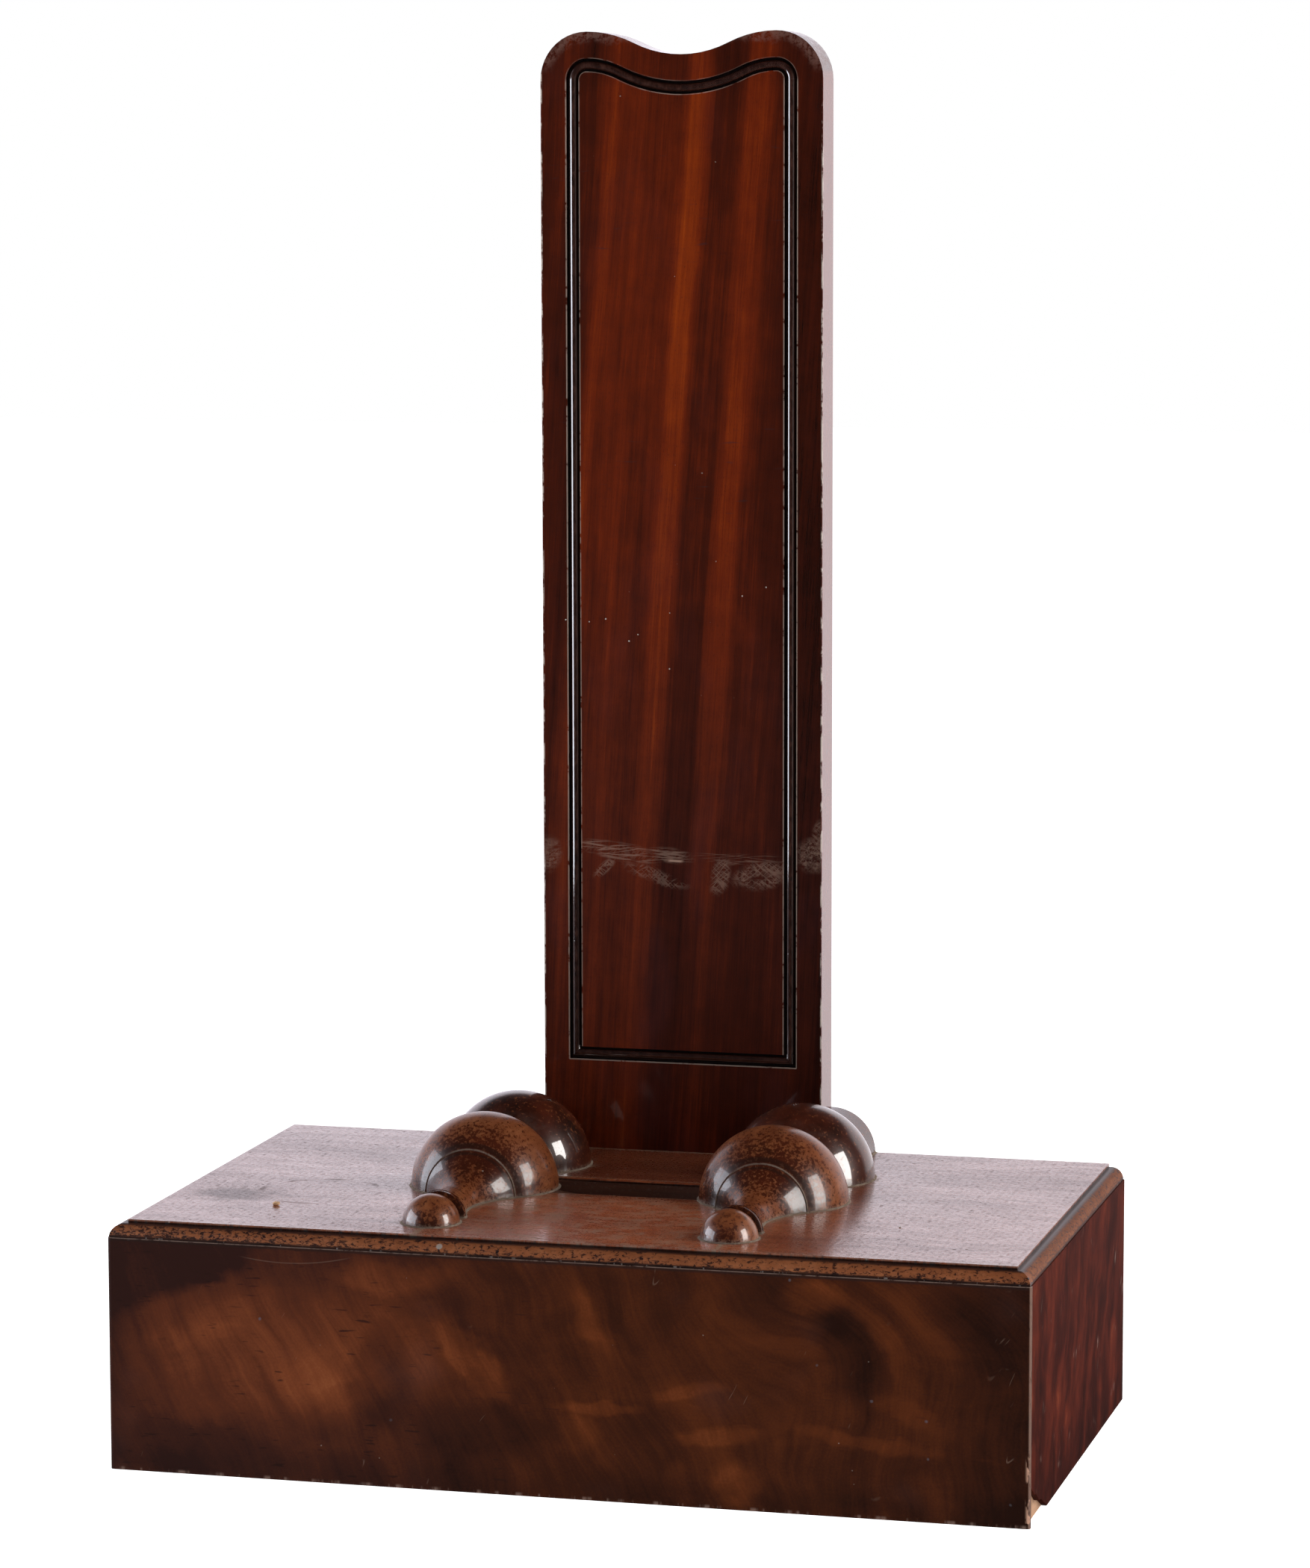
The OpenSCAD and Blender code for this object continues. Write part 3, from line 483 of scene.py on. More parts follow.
def side_material():
    g = Graph("side_mahogany")
    x, y, z = g.x, g.y, g.z
    warp = g.stretch(x * 8, y * 8, z * 16, 2.0) - 0.5
    curl = g.stretch(x * 30, y * 42, z * 34, 3.0, 0.6) - 0.5
    u = y - z * 0.30 + warp * 0.036 + curl * 0.020
    broad = g.stretch(1.0, u * 38, z * 13, 4.0, 0.65, 0.7)
    cloud = g.stretch(7.0, y * 46, z * 40, 4.0, 0.65)
    streak = g.stretch(2.0, u * 150, z * 10, 3.0, 0.6)
    fine = g.stretch(3.0, u * 800, z * 60, 2.0, 0.6)
    tone = (0.33 + (broad - 0.47) * 1.25 + (streak - 0.5) * 0.40 + (fine - 0.5) * 0.30
            + (cloud - 0.5) * 0.75)
    tone = tone + g.step(z, 0.06, 0.112) * 0.08 - g.step(z, 0.03, 0.0) * 0.06
    tone = tone.max(0.0)
    colour = g.ramp(tone, [(0.0, (0.014, 0.0024, 0.0014)), (0.30, (0.036, 0.0056, 0.0030)),
                           (0.60, (0.080, 0.0125, 0.0056)), (0.82, (0.150, 0.0300, 0.0120)),
                           (1.0, (0.240, 0.0600, 0.0250))])
    bloom = g.step(g.stretch(4.0, y * 34, z * 20, 3.0), 0.54, 0.78) * 0.10
    colour = g.mix(bloom, colour, (0.110, 0.040, 0.034))
    dot = specks(g, 0.0070, 0.26, 6.3, 0.06, 0.11)
    colour = g.mix(dot * 0.9, colour, (0.52, 0.46, 0.42))
    scratch = strokes(g, y, z, 62, 30, 240, 5.0, 0.016)
    scratch = scratch * g.step(g.stretch(6.0, y * 46, z * 60, 2.0, 0.6), 0.60, 0.72)
    colour = g.mix(scratch * 0.50, colour, (0.34, 0.24, 0.21))
    under = g.bump(fine, 0.00006, 0.4)
    return g.finish(colour, 0.50 + bloom * 0.3, under, coat=0.0, specular=0.01)


def top_material():
    g = Graph("worn_top_polish")
    x, y, z = g.x, g.y, g.z
    wave = g.stretch(x * 7, y * 7, 0.0, 2.0) - 0.5
    v = y + wave * 0.050
    broad = g.stretch(x * 6, v * 20, 0.0, 3.0, 0.6)
    streak = g.stretch(x * 16, v * 150, 1.0, 4.0, 0.65)
    fine = g.stretch(x * 50, v * 900, 2.0, 2.0, 0.6)
    mottle = g.stretch(x * 520, y * 700, 4.0, 3.0, 0.7)
    tone = (0.52 + (broad - 0.5) * 0.75 + (streak - 0.5) * 0.70 + (fine - 0.5) * 0.55
            + (mottle - 0.5) * 0.35)
    tone = tone.max(0.0)
    colour = g.ramp(tone, [(0.0, (0.055, 0.0115, 0.0050)), (0.35, (0.160, 0.0360, 0.0150)),
                           (0.65, (0.300, 0.0830, 0.0340)), (1.0, (0.460, 0.1700, 0.0850))])
    hole = pores(g, x, y, 0.0030, 0.00030, 0.58, 0.06)
    fleck = pores(g, x, y, 0.0060, 0.00075, 0.68, 0.03, 7.0)
    colour = g.mix(hole.max(fleck) * 0.75, colour, (0.022, 0.010, 0.008))
    # dust: a halo round each half turning, along the board's foot and on the trough's lips
    grit = g.stretch(x * 700, y * 700, 0.0, 4.0, 0.75)
    clump = g.stretch(x * 70, y * 70, 2.0, 3.0, 0.6)
    off = (x.abs() - TURN_X).abs() - turning_radius(g, y)
    halo = (g.step(off - (clump - 0.5) * 0.010, 0.0085, 0.0005)
            * (0.30 + 0.55 * g.step(off, 0.0028, 0.0004)))
    between = g.step(x.abs(), 0.080, 0.072)
    foot = g.step(y, FACE - 0.0034, FACE - 0.0010) * between * 0.6
    lip = g.band(y, LIP_FRONT - 0.0006, 0.0003, 0.0004)
    lip = lip.max(g.band(y, LIP_BACK + 0.0022, 0.0004, 0.0006))
    lip = lip * g.step(x.abs(), 0.050, 0.047) * 0.45
    film = g.step(clump, 0.40, 0.70) * 0.05
    ahead = g.step(x.abs(), 0.110, 0.050) * g.step(y, LIP_FRONT + 0.002, LIP_FRONT - 0.010)
    ahead = ahead * g.step(g.stretch(x * 75, v * 210, 9.0, 4.0, 0.78), 0.47, 0.58)
    dusty = halo.max(foot).max(lip).max(film).max(ahead * 0.62) * g.step(grit, 0.36, 0.58)
    # painted shade: darker on the top between the half turnings, behind the trough
    painted_shade_behind = g.step(y, LIP_BACK + 0.002, LIP_BACK + 0.006) * g.step(x.abs(), 0.090, 0.070)
    colour = g.mix(painted_shade_behind * 0.45, colour, (0.050, 0.0120, 0.0070))
    # painted light: the top ahead of the trough, between the half turnings, made lighter
    before = g.step(x.abs(), 0.130, 0.060) * g.step(y, LIP_FRONT, LIP_FRONT - 0.012)
    colour = g.mix(before, colour, (1.65, 1.62, 1.55), "MULTIPLY")
    colour = g.mix(dusty, colour, (0.270, 0.235, 0.170))
    # a ring left by a wet cup and a grey bloom beside it, on the left
    r = ((x + 0.148) * (x + 0.148) + (y + 0.035) * (y + 0.035)) ** 0.5
    r = r + (g.stretch(x * 40, y * 40, 0.0, 2.0) - 0.5) * 0.004
    gaps = g.step(g.stretch(x * 50, y * 50, 6.0, 1.0), 0.46, 0.60)
    ring = g.band(r, 0.030, 0.0006, 0.0014) * gaps
    bx, by = (x + 0.186) / 0.030, (y + 0.050) / 0.022
    grey = g.step((bx * bx + by * by) ** 0.5 + (clump - 0.5) * 1.6, 1.1, 0.3)
    colour = g.mix(ring * 0.50, colour, (0.050, 0.028, 0.024))
    colour = g.mix(grey * 0.6, colour, (0.030, 0.026, 0.028))
    dot = specks(g, 0.0060, 0.22, 0.4, 0.05, 0.10)
    colour = g.mix(dot * 0.8, colour, (0.46, 0.40, 0.34))
    pit = specks(g, 0.0075, 0.24, 5.4, 0.05, 0.11)
    colour = g.mix(pit * 0.7, colour, (0.040, 0.020, 0.016))
    # dark glue line on the veneer's cut edge, under a thin pale arris: wear and painted highlight
    edge = g.step(z, TOP - 0.0006, TOP - 0.0010)
    rim = (g.band(z, TOP - 0.0003, 0.0003, 0.0002)
           * g.step(y, front_lo.y + 0.012, front_lo.y + 0.0095))
    colour = g.mix(rim * 0.6 * g.step(grit, 0.36, 0.56), colour, (0.300, 0.170, 0.125))
    colour = g.mix(edge * 0.90, colour, (0.012, 0.007, 0.006))
    worn = g.step(grit, 0.40, 0.66)
    rough = (0.20 + worn * 0.10 + film * 0.3 + dusty * 0.5 + ring * 0.15 + hole * 0.35 + grey * 0.06
             + pit * 0.3)
    height = (1.0 - hole) * 0.6 + (1.0 - fleck) * 0.6 + grit * 0.30 + fine * 0.3 + dot * 0.4
    ripple = g.stretch(x * 16, y * 16, 0.0, 1.0)
    normal = g.bump(height, 0.00007, 0.45, over=g.bump(ripple, 0.001, 0.03))
    sheen = 0.63 - hole * 0.4 - dusty * 0.6 - pit * 0.6 - grey * 0.36 - ring * 0.3
    sheen = sheen + (streak - 0.5) * 0.8 + (broad - 0.5) * 0.9 + (fine - 0.5) * 0.6
    return g.finish(colour, rough, normal, coat=sheen.max(0.1).min(1.0), coat_rough=0.14,
                    specular=0.20)


def ovolo_material():
    g = Graph("rubbed_ovolo")
    x, y, z = g.x, g.y, g.z
    along = g.stretch(x * 40, y * 40, z * 40, 3.0, 0.6)
    grain = g.stretch(x * 260, y * 260, z * 600, 3.0, 0.6)
    tone = 0.50 + (along - 0.5) * 0.6 + (grain - 0.5) * 0.6
    bare = g.ramp(tone, [(0.0, (0.110, 0.0300, 0.0120)), (0.5, (0.235, 0.0760, 0.0280)),
                         (1.0, (0.400, 0.1600, 0.0700))])
    # the crown is rubbed through, the quirks above and below keep dark polish and dirt
    h = (z - mould_lo.z) / (mould_hi.z - mould_lo.z)
    h = h + (grain - 0.5) * 0.10
    crown = g.step(h, 0.10, 0.28) * g.step(h, 1.00, 0.86)
    patches = g.stretch(x * 420, y * 420, z * 900, 4.0, 0.7, 0.6)
    left = g.step(x, -0.03, -0.20) * 0.050 + g.step(h, 0.55, 0.20) * 0.035
    rubbed = crown * g.step(patches - left, 0.385, 0.480)
    dark = g.mix(g.step(along, 0.3, 0.7), (0.014, 0.0060, 0.0048), (0.045, 0.0165, 0.0100))
    colour = g.mix(rubbed, dark, bare)
    nick = g.step(g.stretch(x * 95, y * 95, z * 300, 2.0), 0.70, 0.74)
    colour = g.mix(nick * 0.7, colour, (0.022, 0.010, 0.007))
    flank = (g.step(x, side_hi.x - 0.0060, side_hi.x - 0.0030)
             * g.step(y, front_lo.y + 0.004, front_lo.y + 0.010))
    colour = g.mix(flank * (0.78 - rubbed * 0.42), colour, (0.040, 0.0095, 0.0042))
    where = g.step(g.stretch(x * 380, y * 380, 2.0, 3.0, 0.6), 0.60, 0.70)
    fleck = g.step(h, 0.16, 0.06) * where
    colour = g.mix(fleck * 0.7, colour, (0.300, 0.260, 0.240))
    dent = ((x + 0.059) * (x + 0.059) + (z - 0.1175) * (z - 0.1175) * 2) ** 0.5
    dent = g.band(dent, 0.0, 0.0011, 0.0008)
    colour = g.mix(dent * 0.75, colour, (0.36, 0.33, 0.30))
    height = rubbed * 0.5 + patches * 0.5 - nick * 0.8 - dent * 0.8
    normal = g.bump(height, 0.00012, 0.6)
    coat = (0.30 - rubbed * 0.26) * (1.0 - flank)
    return g.finish(colour, 0.46 + rubbed * 0.10, normal, coat=coat, coat_rough=0.20, specular=0.08)


def bead_material():
    g = Graph("bead_mahogany")
    x, y, z = g.x, g.y, g.z
    across = g.stretch(x * 700, y * 700, z * 30, 3.0, 0.6)
    colour = g.ramp(across, [(0.25, (0.010, 0.0036, 0.0028)), (0.75, (0.026, 0.0080, 0.0052))])
    crest = g.step(y, FACE + 0.0009, FACE + 0.0001)
    rub = g.step(g.stretch(x * 500, y * 500, z * 160, 4.0, 0.7), 0.42, 0.62)
    colour = g.mix(crest * rub * 0.35, colour, (0.085, 0.035, 0.026))
    pit = g.step(g.stretch(x * 400, y * 400, z * 220, 2.0), 0.66, 0.70)
    colour = g.mix(pit * 0.5, colour, (0.006, 0.004, 0.004))
    normal = g.bump(rub * 0.2 - pit * 0.5, 0.00004, 0.4)
    # only the flanks that turn to the left keep their full polish
    middle = (bead_hi.x + bead_hi.x - INNER_ARRIS) / 2
    to_left = (g.step(x.abs() - middle, 0.0030, 0.0026)
               * g.step(z, bead_hi.z + 0.001, bead_hi.z + 0.003))
    offset = x + g.step(x, 0.001, -0.001, middle, -middle)
    keep = 1.0 - to_left * g.step(offset, -0.0003, 0.0005)
    return g.finish(colour, 0.34, normal, coat=keep, coat_rough=0.05, specular=0.06, Coat_IOR=1.9)


def turning_material(name, sign):
    """Mottled patina: rubbed to orange wood where hands and dishes touch it, dark elsewhere."""
    g = Graph(name)
    x, y, z = g.x, g.y, g.z
    dx, up = x - sign * TURN_X, z - TOP
    radius = (dx * dx + up * up) ** 0.5
    # how much of the patina each member has lost, from the ball in front to the drum at the back
    worn = g.ramp(station(y), [
        (0.00, 0.62), (0.11, 0.70), (0.13, 0.15), (0.15, 0.56), (0.26, 0.72), (0.31, 0.36),
        (0.345, 0.08), (0.37, 0.40), (0.41, 0.68), (0.46, 0.88), (0.52, 0.60), (0.56, 0.05),
        (0.62, 0.0), (0.70, 0.08), (0.80, 0.0), (1.00, 0.12)])
    # the front members are rubbed to a soft sheen, the rear ones keep their gloss
    gloss = g.ramp(station(y), [
        (0.00, 0.62), (0.12, 0.62), (0.15, 0.30), (0.30, 0.30), (0.38, 0.32), (0.54, 0.36),
        (0.62, 0.95), (0.79, 0.95), (0.82, 0.30), (1.00, 0.20)])
    cloud = g.noise(g.vec(x + sign, y, z), 40.0, 3.0, 0.6)
    mottle = g.noise(g.pos, 520.0, 5.0, 0.74, 0.3)
    low = g.step(up, 0.0095, 0.0020) * g.step(dx, 0.010, 0.002)
    much = worn + (cloud - 0.5) * (0.15 + worn * 0.80) - low * 0.35
    rubbed = g.step(mottle + much * 0.26, 0.560, 0.680)
    streak = g.stretch(x * 300, y * 26, z * 300, 3.0, 0.6)
    wood = g.ramp(streak * 0.5 + cloud * 0.5,
                  [(0.30, (0.132, 0.0340, 0.0120)), (0.52, (0.240, 0.0750, 0.0270)),
                   (0.72, (0.355, 0.1330, 0.0550))])
    shade = g.noise(g.vec(x, y + sign, z), 60.0, 3.0, 0.6)
    dark = g.ramp(shade, [(0.30, (0.012, 0.0036, 0.0022)), (0.70, (0.070, 0.0135, 0.0056))])
    dark = g.mix(worn * 0.55, dark, (0.090, 0.0230, 0.0100))
    colour = g.mix(rubbed * 0.80, dark, wood)
    speck = g.step(g.noise(g.vec(x, y + 1, z), 900.0, 2.0, 0.7), 0.60, 0.67)
    colour = g.mix(speck * 0.45, colour, (0.016, 0.006, 0.004))
    # grey haze in the valley between the tori and on the shoulder behind it
    haze = g.band(y, 0.0310, 0.0050, 0.0080) * g.step(g.noise(g.pos, 120.0, 4.0, 0.7), 0.42, 0.66)
    colour = g.mix(haze * 0.26, colour, (0.120, 0.095, 0.082))
    # dust lying on the flange, in the hollow behind it and low on the flanks
    # the pale line on the flange is partly dust, partly a painted highlight
    flange_dust_and_glint = (g.band(y, -0.0272, 0.0005, 0.0004) * g.step(radius, 0.0224, 0.0229)
              * g.step(mottle, 0.34, 0.48))
    bottom = g.step(up, 0.0026, 0.0004) * g.step(mottle, 0.40, 0.60)
    back = g.band(y, 0.0842, 0.0012, 0.0012) * g.step(mottle, 0.38, 0.54) * 0.8
    dusty = (flange_dust_and_glint * 0.55).max(bottom * 0.4).max(back)
    colour = g.mix(dusty, colour, (0.330, 0.270, 0.215))
    # painted shade: dark lines in the creases either side of the flange
    crease_shade = g.band(y, -0.0254, 0.0005, 0.0007).max(g.band(y, -0.0288, 0.0003, 0.0005))
    colour = g.mix(crease_shade * 0.75, colour, (0.022, 0.009, 0.006))
    dot = specks(g, 0.0055, 0.10, 2.6, 0.04, 0.08)
    colour = g.mix(dot * 0.7, colour, (0.42, 0.36, 0.31))
    rough = 0.25 + g.step(gloss, 0.40, 0.80) * 0.10 + rubbed * 0.04 + dusty * 0.45
    height = rubbed * 0.35 + speck * -0.3 + streak * 0.2 + dusty * 0.3
    under = g.bump(height, 0.00012, 0.35)
    ripple = g.noise(g.pos, 90.0, 1.0)
    over = g.bump(ripple, 0.00006, 0.15)
    coat = (gloss - dusty * 0.85 - rubbed * gloss * 0.35).max(0.0)
    return g.finish(colour, rough, under, coat=coat, coat_rough=0.055, specular=0.17,
                    coat_normal=over)


def softwood_material(name, shade, along):
    g = Graph(name)
    x, y, z = g.x, g.y, g.z
    a, b, c = {"x": (x, y, z), "y": (y, x, z), "z": (z, x, y)}[along]
    wob = g.stretch(a * 3, b * 12, c * 12, 2.0) - 0.5
    ring = g.stretch(a * 1.2, (b + wob * 0.02) * 140, (c + wob * 0.02) * 140, 2.0, 0.5)
    fine = g.stretch(a * 30, b * 1400, c * 1400, 2.0)
    tone = ring * 0.75 + fine * 0.25
    colour = g.ramp(tone, [(0.25, tuple(s * 0.55 for s in shade)), (0.55, shade),
                           (0.85, tuple(min(1, s * 1.35) for s in shade))])
    grime = g.step(g.noise(g.pos, 30.0, 4.0, 0.65), 0.42, 0.72) * 0.45
    colour = g.mix(grime, colour, (0.075, 0.048, 0.032))
    saw = g.stretch(a * 900, b * 40, c * 40, 1.0)
    normal = g.bump(fine * 0.6 + saw * 0.4, 0.00015, 0.6)
    return g.finish(colour, 0.72, normal, specular=0.3)


def core_material():
    g = Graph("top_core_mahogany")
    x, y, z = g.x, g.y, g.z
    streak = g.stretch(x * 10, y * 160, z * 160, 3.0, 0.6)
    fine = g.stretch(x * 60, y * 1200, z * 1200, 2.0)
    colour = g.ramp(streak * 0.7 + fine * 0.3,
                    [(0.25, (0.070, 0.0300, 0.0210)), (0.80, (0.190, 0.0760, 0.0480))])
    # painted shade: the trough's walls darker deeper down
    inside = g.step(z, TOP - 0.003, TOP - 0.011)
    colour = g.mix(inside * 0.3, colour, (0.040, 0.0190, 0.0140))
    grit = g.noise(g.pos, 500.0, 3.0, 0.7)
    colour = g.mix(g.step(grit, 0.52, 0.70) * 0.35, colour, (0.210, 0.165, 0.135))
    normal = g.bump(fine * 0.5 + grit * 0.5, 0.0001, 0.5)
    return g.finish(colour, 0.42, normal, coat=0.3, coat_rough=0.25, specular=0.35)


def iron_material():
    g = Graph("dull_iron")
    grit = g.noise(g.pos, 700.0, 4.0, 0.7)
    rust = g.step(g.noise(g.pos, 260.0, 3.0, 0.65), 0.46, 0.62)
    colour = g.mix(rust * 0.8, (0.215, 0.205, 0.195), (0.130, 0.058, 0.030))
    normal = g.bump(grit, 0.00015, 0.6)
    g.put(g.bsdf.inputs["Metallic"], 0.9 - rust * 0.8)
    return g.finish(colour, 0.42 + grit * 0.25, normal)


def dust_material():
    g = Graph("packed_dust")
    clump = g.noise(g.pos, 700.0, 4.0, 0.75)
    shade = g.noise(g.pos, 90.0, 2.0)
    colour = g.ramp(clump * 0.6 + shade * 0.4,
                    [(0.30, (0.080, 0.052, 0.038)), (0.52, (0.205, 0.155, 0.118)),
                     (0.72, (0.370, 0.305, 0.250))])
    normal = g.bump(clump, 0.0003, 0.9)
    return g.finish(colour, 0.92, normal, specular=0.15)


looks = {
    "upright_board": upright_material(),
    "front_veneer": flame_material(),
    "top_veneer": top_material(),
    "plinth_top": core_material(),
    "left_half_turning": turning_material("left_turning_patina", -1),
    "right_half_turning": turning_material("right_turning_patina", 1),
}
CARCASE_PINE, BLOCK_PINE = (0.400, 0.225, 0.125), (0.430, 0.285, 0.170)
for material, names in (
        (side_material(), ("left_veneer", "right_veneer")),
        (ovolo_material(), ("front_edge_moulding", "left_edge_moulding", "right_edge_moulding")),
        (bead_material(), ("panel_bead_left", "panel_bead_right", "panel_bead_foot",
                           "panel_bead_crest")),
        (iron_material(), ("upright_screws", "turning_screws")),
        (softwood_material("carcase_pine_long", CARCASE_PINE, "x"),
         ("carcase_front", "carcase_back")),
        (softwood_material("carcase_pine_end", CARCASE_PINE, "y"),
         ("carcase_left", "carcase_right")),
        (softwood_material("block_pine", BLOCK_PINE, "z"),
         ("corner_glue_blocks", "top_glue_blocks"))):
    for name in names:
        looks[name] = material


def soften(obj, width, segments=2, angle=28):
    """Rounds a CAD node's sharp arrises a little, as handling does."""
    weld = obj.modifiers.new("weld", "WELD")
    weld.merge_threshold = 1e-6
    bevel = obj.modifiers.new("arris", "BEVEL")
    bevel.width = width
    bevel.segments = segments
    bevel.limit_method = "ANGLE"
    bevel.angle_limit = math.radians(angle)
    bevel.harden_normals = False
    bevel.use_clamp_overlap = True
    normal = obj.modifiers.new("shade", "WEIGHTED_NORMAL")
    normal.weight = 80


# how wide the arrises are softened; pieces that are not named stay sharp
ARRIS = {"upright_board": 0.0006, "front_veneer": 0.0003, "right_veneer": 0.0003,
         "left_veneer": 0.0003, "top_veneer": 0.0003, "carcase_front": 0.0004,
         "carcase_left": 0.0004, "carcase_right": 0.0004,
         "corner_glue_blocks": 0.0008, "top_glue_blocks": 0.0008}

for name, obj in nodes.items():
    obj.data.materials.clear()
    obj.data.materials.append(looks[name])
    if name in ARRIS:
        soften(obj, ARRIS[name])


# ---------------------------------------------------------------- dust
def add_object(name, data):
    obj = bpy.data.objects.new(name, data)
    bpy.context.scene.collection.objects.link(obj)
    return obj


def tube_mesh(name, rings, material):
    """A closed loop of closed cross-sections joined into one mesh."""
    verts = [p for ring in rings for p in ring]
    k, n = len(rings[0]), len(rings)
    faces = []
    for i in range(n):
        j = (i + 1) % n
        for a in range(k):
            b = (a + 1) % k
            faces.append((i * k + a, i * k + b, j * k + b, j * k + a))
    mesh = bpy.data.meshes.new(name)
    mesh.from_pydata(verts, [], faces)
    mesh.validate()
    for p in mesh.polygons:
        p.use_smooth = True
    mesh.materials.append(material)
    return add_object(name, mesh)


def footprint(node):
    """The outline of a node's flat underside, as ordered points."""
    mesh = nodes[node].data
    floor = min(v.co.z for v in mesh.vertices) + 1e-5  # a vertex under this lies on the underside

    def key(v):
        return round(v.x * 1e6), round(v.y * 1e6)

    count, where = {}, {}
    for p in mesh.polygons:
        ids = [mesh.vertices[i].co for i in p.vertices]
        if all(v.z < floor for v in ids):
            continue
        for a, b in zip(ids, ids[1:] + ids[:1]):
            if a.z < floor and b.z < floor and key(a) != key(b):
                where[key(a)], where[key(b)] = a.copy(), b.copy()
                count.setdefault(key(a), set()).add(key(b))
                count.setdefault(key(b), set()).add(key(a))
    start = min(count)
    path, seen, here = [start], {start}, start
    while True:
        following = [k for k in count[here] if k not in seen]
        if not following:
            break
        here = following[0]
        seen.add(here)
        path.append(here)
    return [where[k] for k in path]


def resample(points, step):
    """A closed outline's points again, about a step apart."""
    out = []
    for a, b in zip(points, points[1:] + points[:1]):
        n = max(1, int(round((b - a).length / step)))
        out += [a.lerp(b, i / n) for i in range(n)]
    return out


dust = dust_material()
DUST_STEP = 0.0006  # between cross-sections
DUST_SUNK, DUST_TUCK = 0.00003, 0.0003  # how far the fillet runs into the top and the turning


def dust_round(name, points, base, width, height, seed):
    """A low fillet of packed dust along a closed outline, on the surface at height base."""
    pts = resample(points, DUST_STEP)
    area = sum(a.x * b.y - b.x * a.y for a, b in zip(pts, pts[1:] + pts[:1]))
    turn = 1 if area > 0 else -1
    rings = []
    n = len(pts)
    for i, p in enumerate(pts):
        t = pts[(i + 2) % n] - pts[i - 2]
        out = Vector((t.y, -t.x, 0)).normalized() * turn
        q = Vector((p.x, p.y, seed))
        swell = 0.5 + 0.5 * noise.noise(q * 160)
        w = width * (0.55 + 0.9 * swell * (0.6 + 0.5 * noise.noise(q * 900)))
        swell = 0.5 + 0.5 * noise.noise(q * 210 + Vector((5, 5, 5)))
        h = height * (0.60 + 0.8 * swell * (0.7 + 0.5 * noise.noise(q * 1100)))
        section = [(p + out * w, -DUST_SUNK), (p + out * w * 0.35, h * 0.34), (p, h * 0.85),
                   (p - out * DUST_TUCK, h), (p - out * DUST_TUCK, -DUST_SUNK)]
        rings.append([(q.x, min(q.y, side_hi.y), base + lift) for q, lift in section])
    obj = tube_mesh(name, rings, dust)
    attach(obj, "root")


for name, seed in (("left_half_turning", 1.0), ("right_half_turning", 2.0)):
    dust_round("dust_" + name, footprint(name), TOP, width=0.0013, height=0.0008, seed=seed)


def crumb(name, x, y, size, colour):
    """A small lump lying on the top: a squashed and dented ball of rings."""
    rings, around = 7, 10
    verts, faces = [], []
    for j in range(rings):
        tilt = math.pi * (j + 0.5) / rings
        for i in range(around):
            turn = 2 * math.pi * i / around
            d = Vector((math.sin(tilt) * math.cos(turn), math.sin(tilt) * math.sin(turn),
                        math.cos(tilt)))
            d *= 1.0 + 0.35 * noise.noise(d * 2.1)
            verts.append((x + d.x * size[0] / 2, y + d.y * size[1] / 2,
                          TOP + size[2] * (0.42 + d.z * 0.5)))
    faces.append(tuple(range(around)))
    faces.append(tuple(reversed(range((rings - 1) * around, rings * around))))
    for j in range(rings - 1):
        for i in range(around):
            k = (i + 1) % around
            here, above = j * around, (j + 1) * around
            faces.append((here + i, above + i, above + k, here + k))
    mesh = bpy.data.meshes.new(name)
    mesh.from_pydata(verts, [], faces)
    for p in mesh.polygons:
        p.use_smooth = True
    g = Graph(name)
    grit = g.noise(g.pos, 1500.0, 2.0)
    shade = g.ramp(grit, [(0.35, tuple(c * 0.7 for c in colour)), (0.65, colour)])
    g.finish(shade, 0.85, g.bump(grit, 0.0001, 0.6), specular=0.2)
    mesh.materials.append(g.block)
    obj = add_object(name, mesh)
    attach(obj, "root")


crumb("crumb", -0.1585, -0.0723, (0.0038, 0.0030, 0.0020), (0.95, 0.62, 0.36))
crumb("plaster_speck", 0.1467, -0.0497, (0.0013, 0.0009, 0.0006), (0.95, 0.93, 0.90))


# ---------------------------------------------------------------- stage
def stage_floor():
    """A flat pale floor, 2 * half metres square, in n by n squares."""
    mesh = bpy.data.meshes.new("floor")
    half, n = 9.0, 24
    verts, faces = [], []
    for j in range(n + 1):
        for i in range(n + 1):
            verts.append((-half + 2 * half * i / n, -half + 2 * half * j / n, 0.0))
    for j in range(n):
        for i in range(n):
            a = j * (n + 1) + i
            faces.append((a, a + 1, a + n + 2, a + n + 1))
    mesh.from_pydata(verts, [], faces)
    obj = add_object("floor", mesh)
    g = Graph("pale_floor")
    cloud = g.noise(g.pos, 3.0, 2.0)
    colour = g.ramp(cloud, [(0.3, (0.86, 0.86, 0.86)), (0.7, (0.90, 0.90, 0.90))])
    g.finish(colour, 0.9, specular=0.0, Emission_Color=(1.0, 1.0, 1.0), Emission_Strength=1.0)
    mesh.materials.append(g.block)
    obj.visible_glossy = False


stage_floor()


def direction(azimuth, elevation):
    """Unit vector: azimuth 0 is the front (-Y), 90 is the right (+X)."""
    a, e = math.radians(azimuth), math.radians(elevation)
    return Vector((math.sin(a) * math.cos(e), -math.cos(a) * math.cos(e), math.sin(e)))


LIGHT_AIM = Vector((0, 0, 0.16))


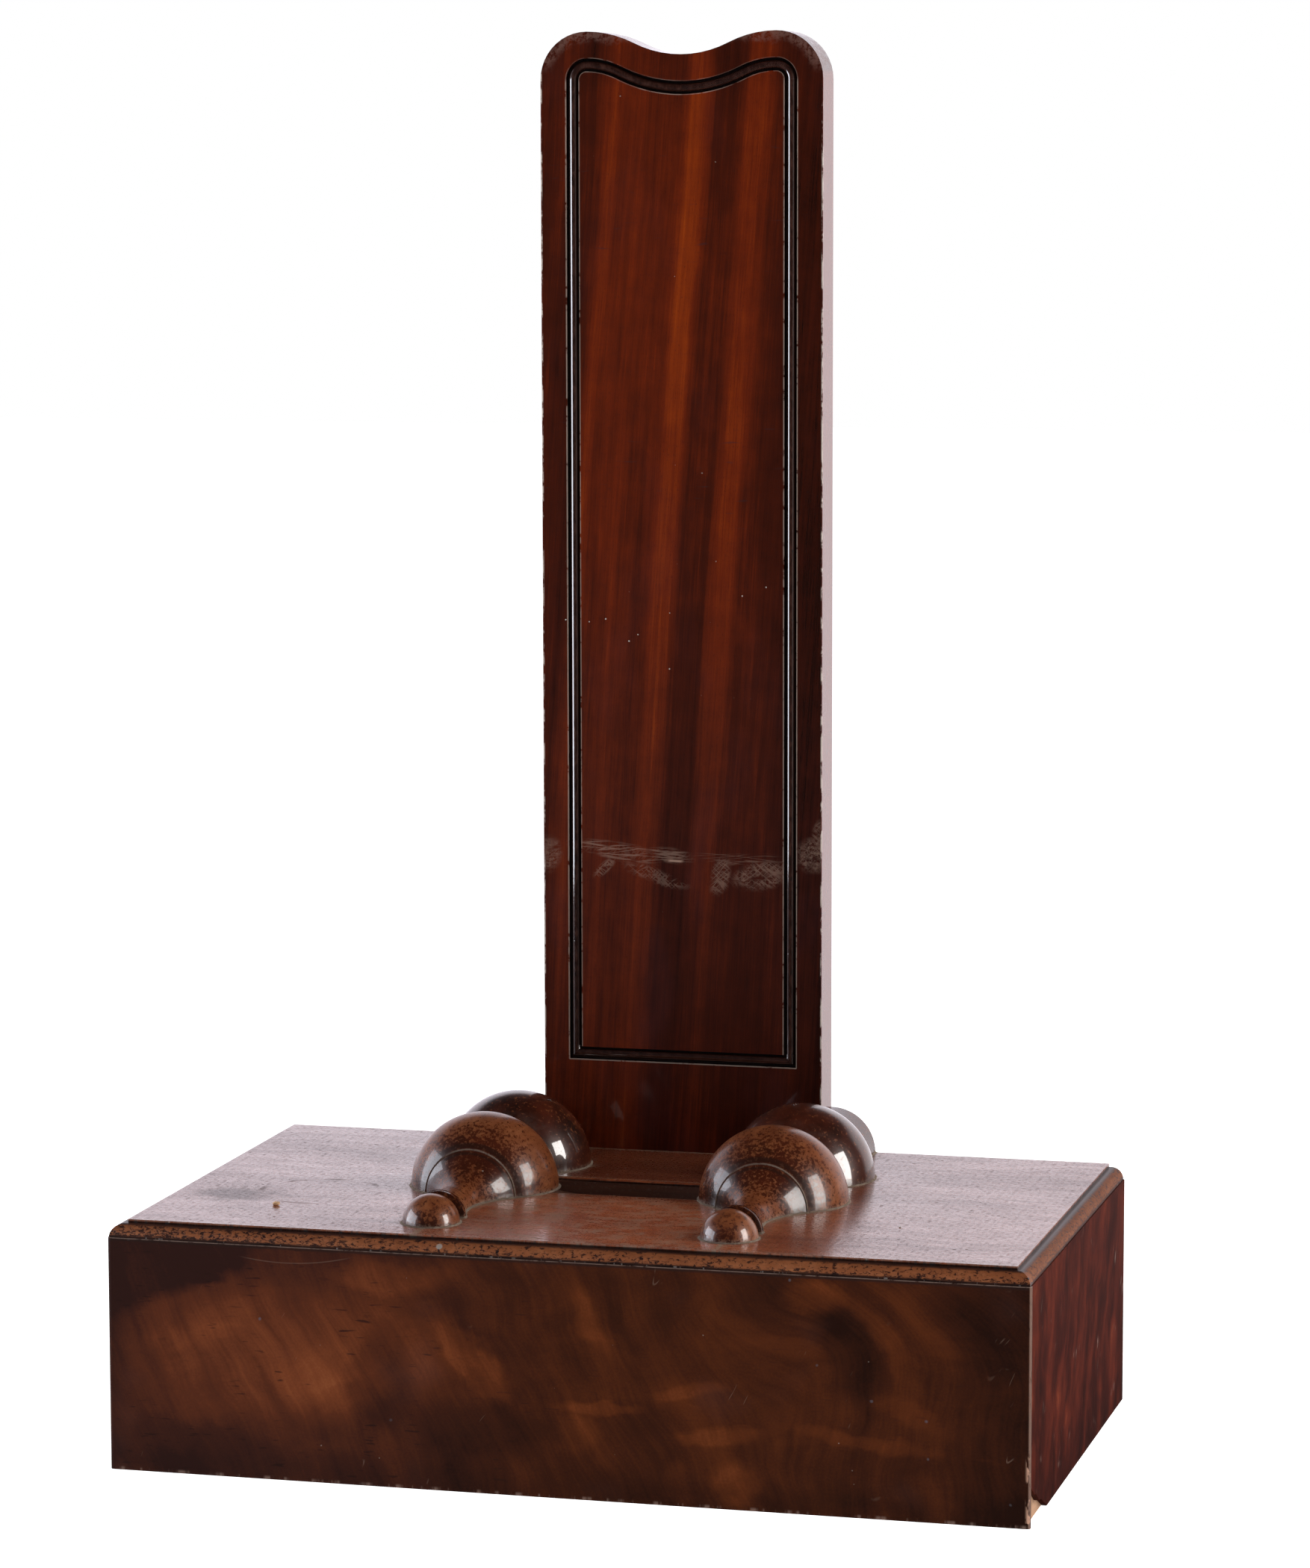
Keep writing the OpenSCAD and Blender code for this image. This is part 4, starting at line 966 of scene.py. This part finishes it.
def softbox(name, azimuth, elevation, distance, width, height, radiance, colour, glossy=True,
            diffuse=True):
    """An area light that aims at the stand, and can be left out of glossy or diffuse light."""
    light = bpy.data.lights.new(name, "AREA")
    light.shape = "RECTANGLE"
    light.size, light.size_y = width, height
    light.energy = radiance * math.pi * width * height
    light.color = colour
    obj = add_object(name, light)
    away = direction(azimuth, elevation)
    obj.location = LIGHT_AIM + away * distance
    obj.rotation_euler = away.to_track_quat("Z", "Y").to_euler()
    obj.visible_glossy = glossy
    obj.visible_diffuse = diffuse
    obj.visible_camera = False


softbox("key_right", 78, 13, 1.3, 0.52, 0.80, 22.0, (1.0, 0.965, 0.93), diffuse=False)
softbox("key_right_soft", 90, 22, 1.7, 0.88, 1.55, 6.0, (1.0, 0.95, 0.91), glossy=False)
softbox("key_left", -72, 11, 1.3, 1.20, 0.70, 8.5, (0.87, 0.90, 1.0), diffuse=False)
softbox("key_left_soft", -80, 20, 1.7, 0.75, 1.35, 4.0, (0.92, 0.94, 1.0), glossy=False)
softbox("fill_front", 10, 40, 2.6, 1.6, 1.6, 1.0, (1.0, 0.97, 0.94), glossy=False)


def studio_world():
    g = Graph("studio", world=True)
    tree = g.tree
    coord = tree.nodes.new("ShaderNodeTexCoord")
    x, y, z = g.split(Val(g, coord.outputs["Generated"]))
    # a white backdrop stands behind; the room in front and below is dark
    back = g.step(y - x * 0.55, 0.05, 0.35) * g.step(z, -0.200, -0.192) * g.step(z, 0.62, 0.40)
    tint = g.mix(g.step(x, -0.5, 0.5), (0.99, 0.935, 1.04), (1.0, 0.935, 0.955))
    colour = g.mix(back, (0.010, 0.010, 0.011), tint)
    glow = tree.nodes.new("ShaderNodeBackground")
    g.put(glow.inputs[0], colour)
    glow.inputs[1].default_value = 1.3
    white = tree.nodes.new("ShaderNodeBackground")
    white.inputs[0].default_value = (1, 1, 1, 1)
    white.inputs[1].default_value = 1.0
    path = tree.nodes.new("ShaderNodeLightPath")
    mix = tree.nodes.new("ShaderNodeMixShader")
    out = tree.nodes.new("ShaderNodeOutputWorld")
    tree.links.new(path.outputs["Is Camera Ray"], mix.inputs[0])
    tree.links.new(glow.outputs[0], mix.inputs[1])
    tree.links.new(white.outputs[0], mix.inputs[2])
    tree.links.new(mix.outputs[0], out.inputs[0])
    bpy.context.scene.world = g.block


studio_world()

# ---------------------------------------------------------------- camera
# the place, angles and focal length come from the fit of the stand's proportions
CAMERA_AT = Vector((0.6450, -2.4137, 0.6326))
CAMERA_YAW, CAMERA_PITCH, CAMERA_ROLL = math.radians(-14.66), math.radians(7.04), -0.002
SENSOR_MM, FOCAL_MM = 36.0, 118.46

camera = bpy.data.cameras.new("camera")
camera.sensor_fit = "VERTICAL"
camera.sensor_height = SENSOR_MM
camera.lens = FOCAL_MM
view = add_object("camera", camera)
yaw, pitch, roll = CAMERA_YAW, CAMERA_PITCH, CAMERA_ROLL
forward = Vector((math.sin(yaw) * math.cos(pitch), math.cos(yaw) * math.cos(pitch),
                  -math.sin(pitch)))
right = Vector((math.cos(yaw), -math.sin(yaw), 0.0))
up = right.cross(forward)
right, up = (right * math.cos(roll) + up * math.sin(roll),
             up * math.cos(roll) - right * math.sin(roll))
turn = Matrix((right, up, -forward)).transposed()
view.matrix_world = Matrix.Translation(CAMERA_AT) @ turn.to_4x4()
bpy.context.scene.camera = view
bpy.context.scene.view_settings.view_transform = "Standard"
bpy.context.scene.view_settings.look = "None"
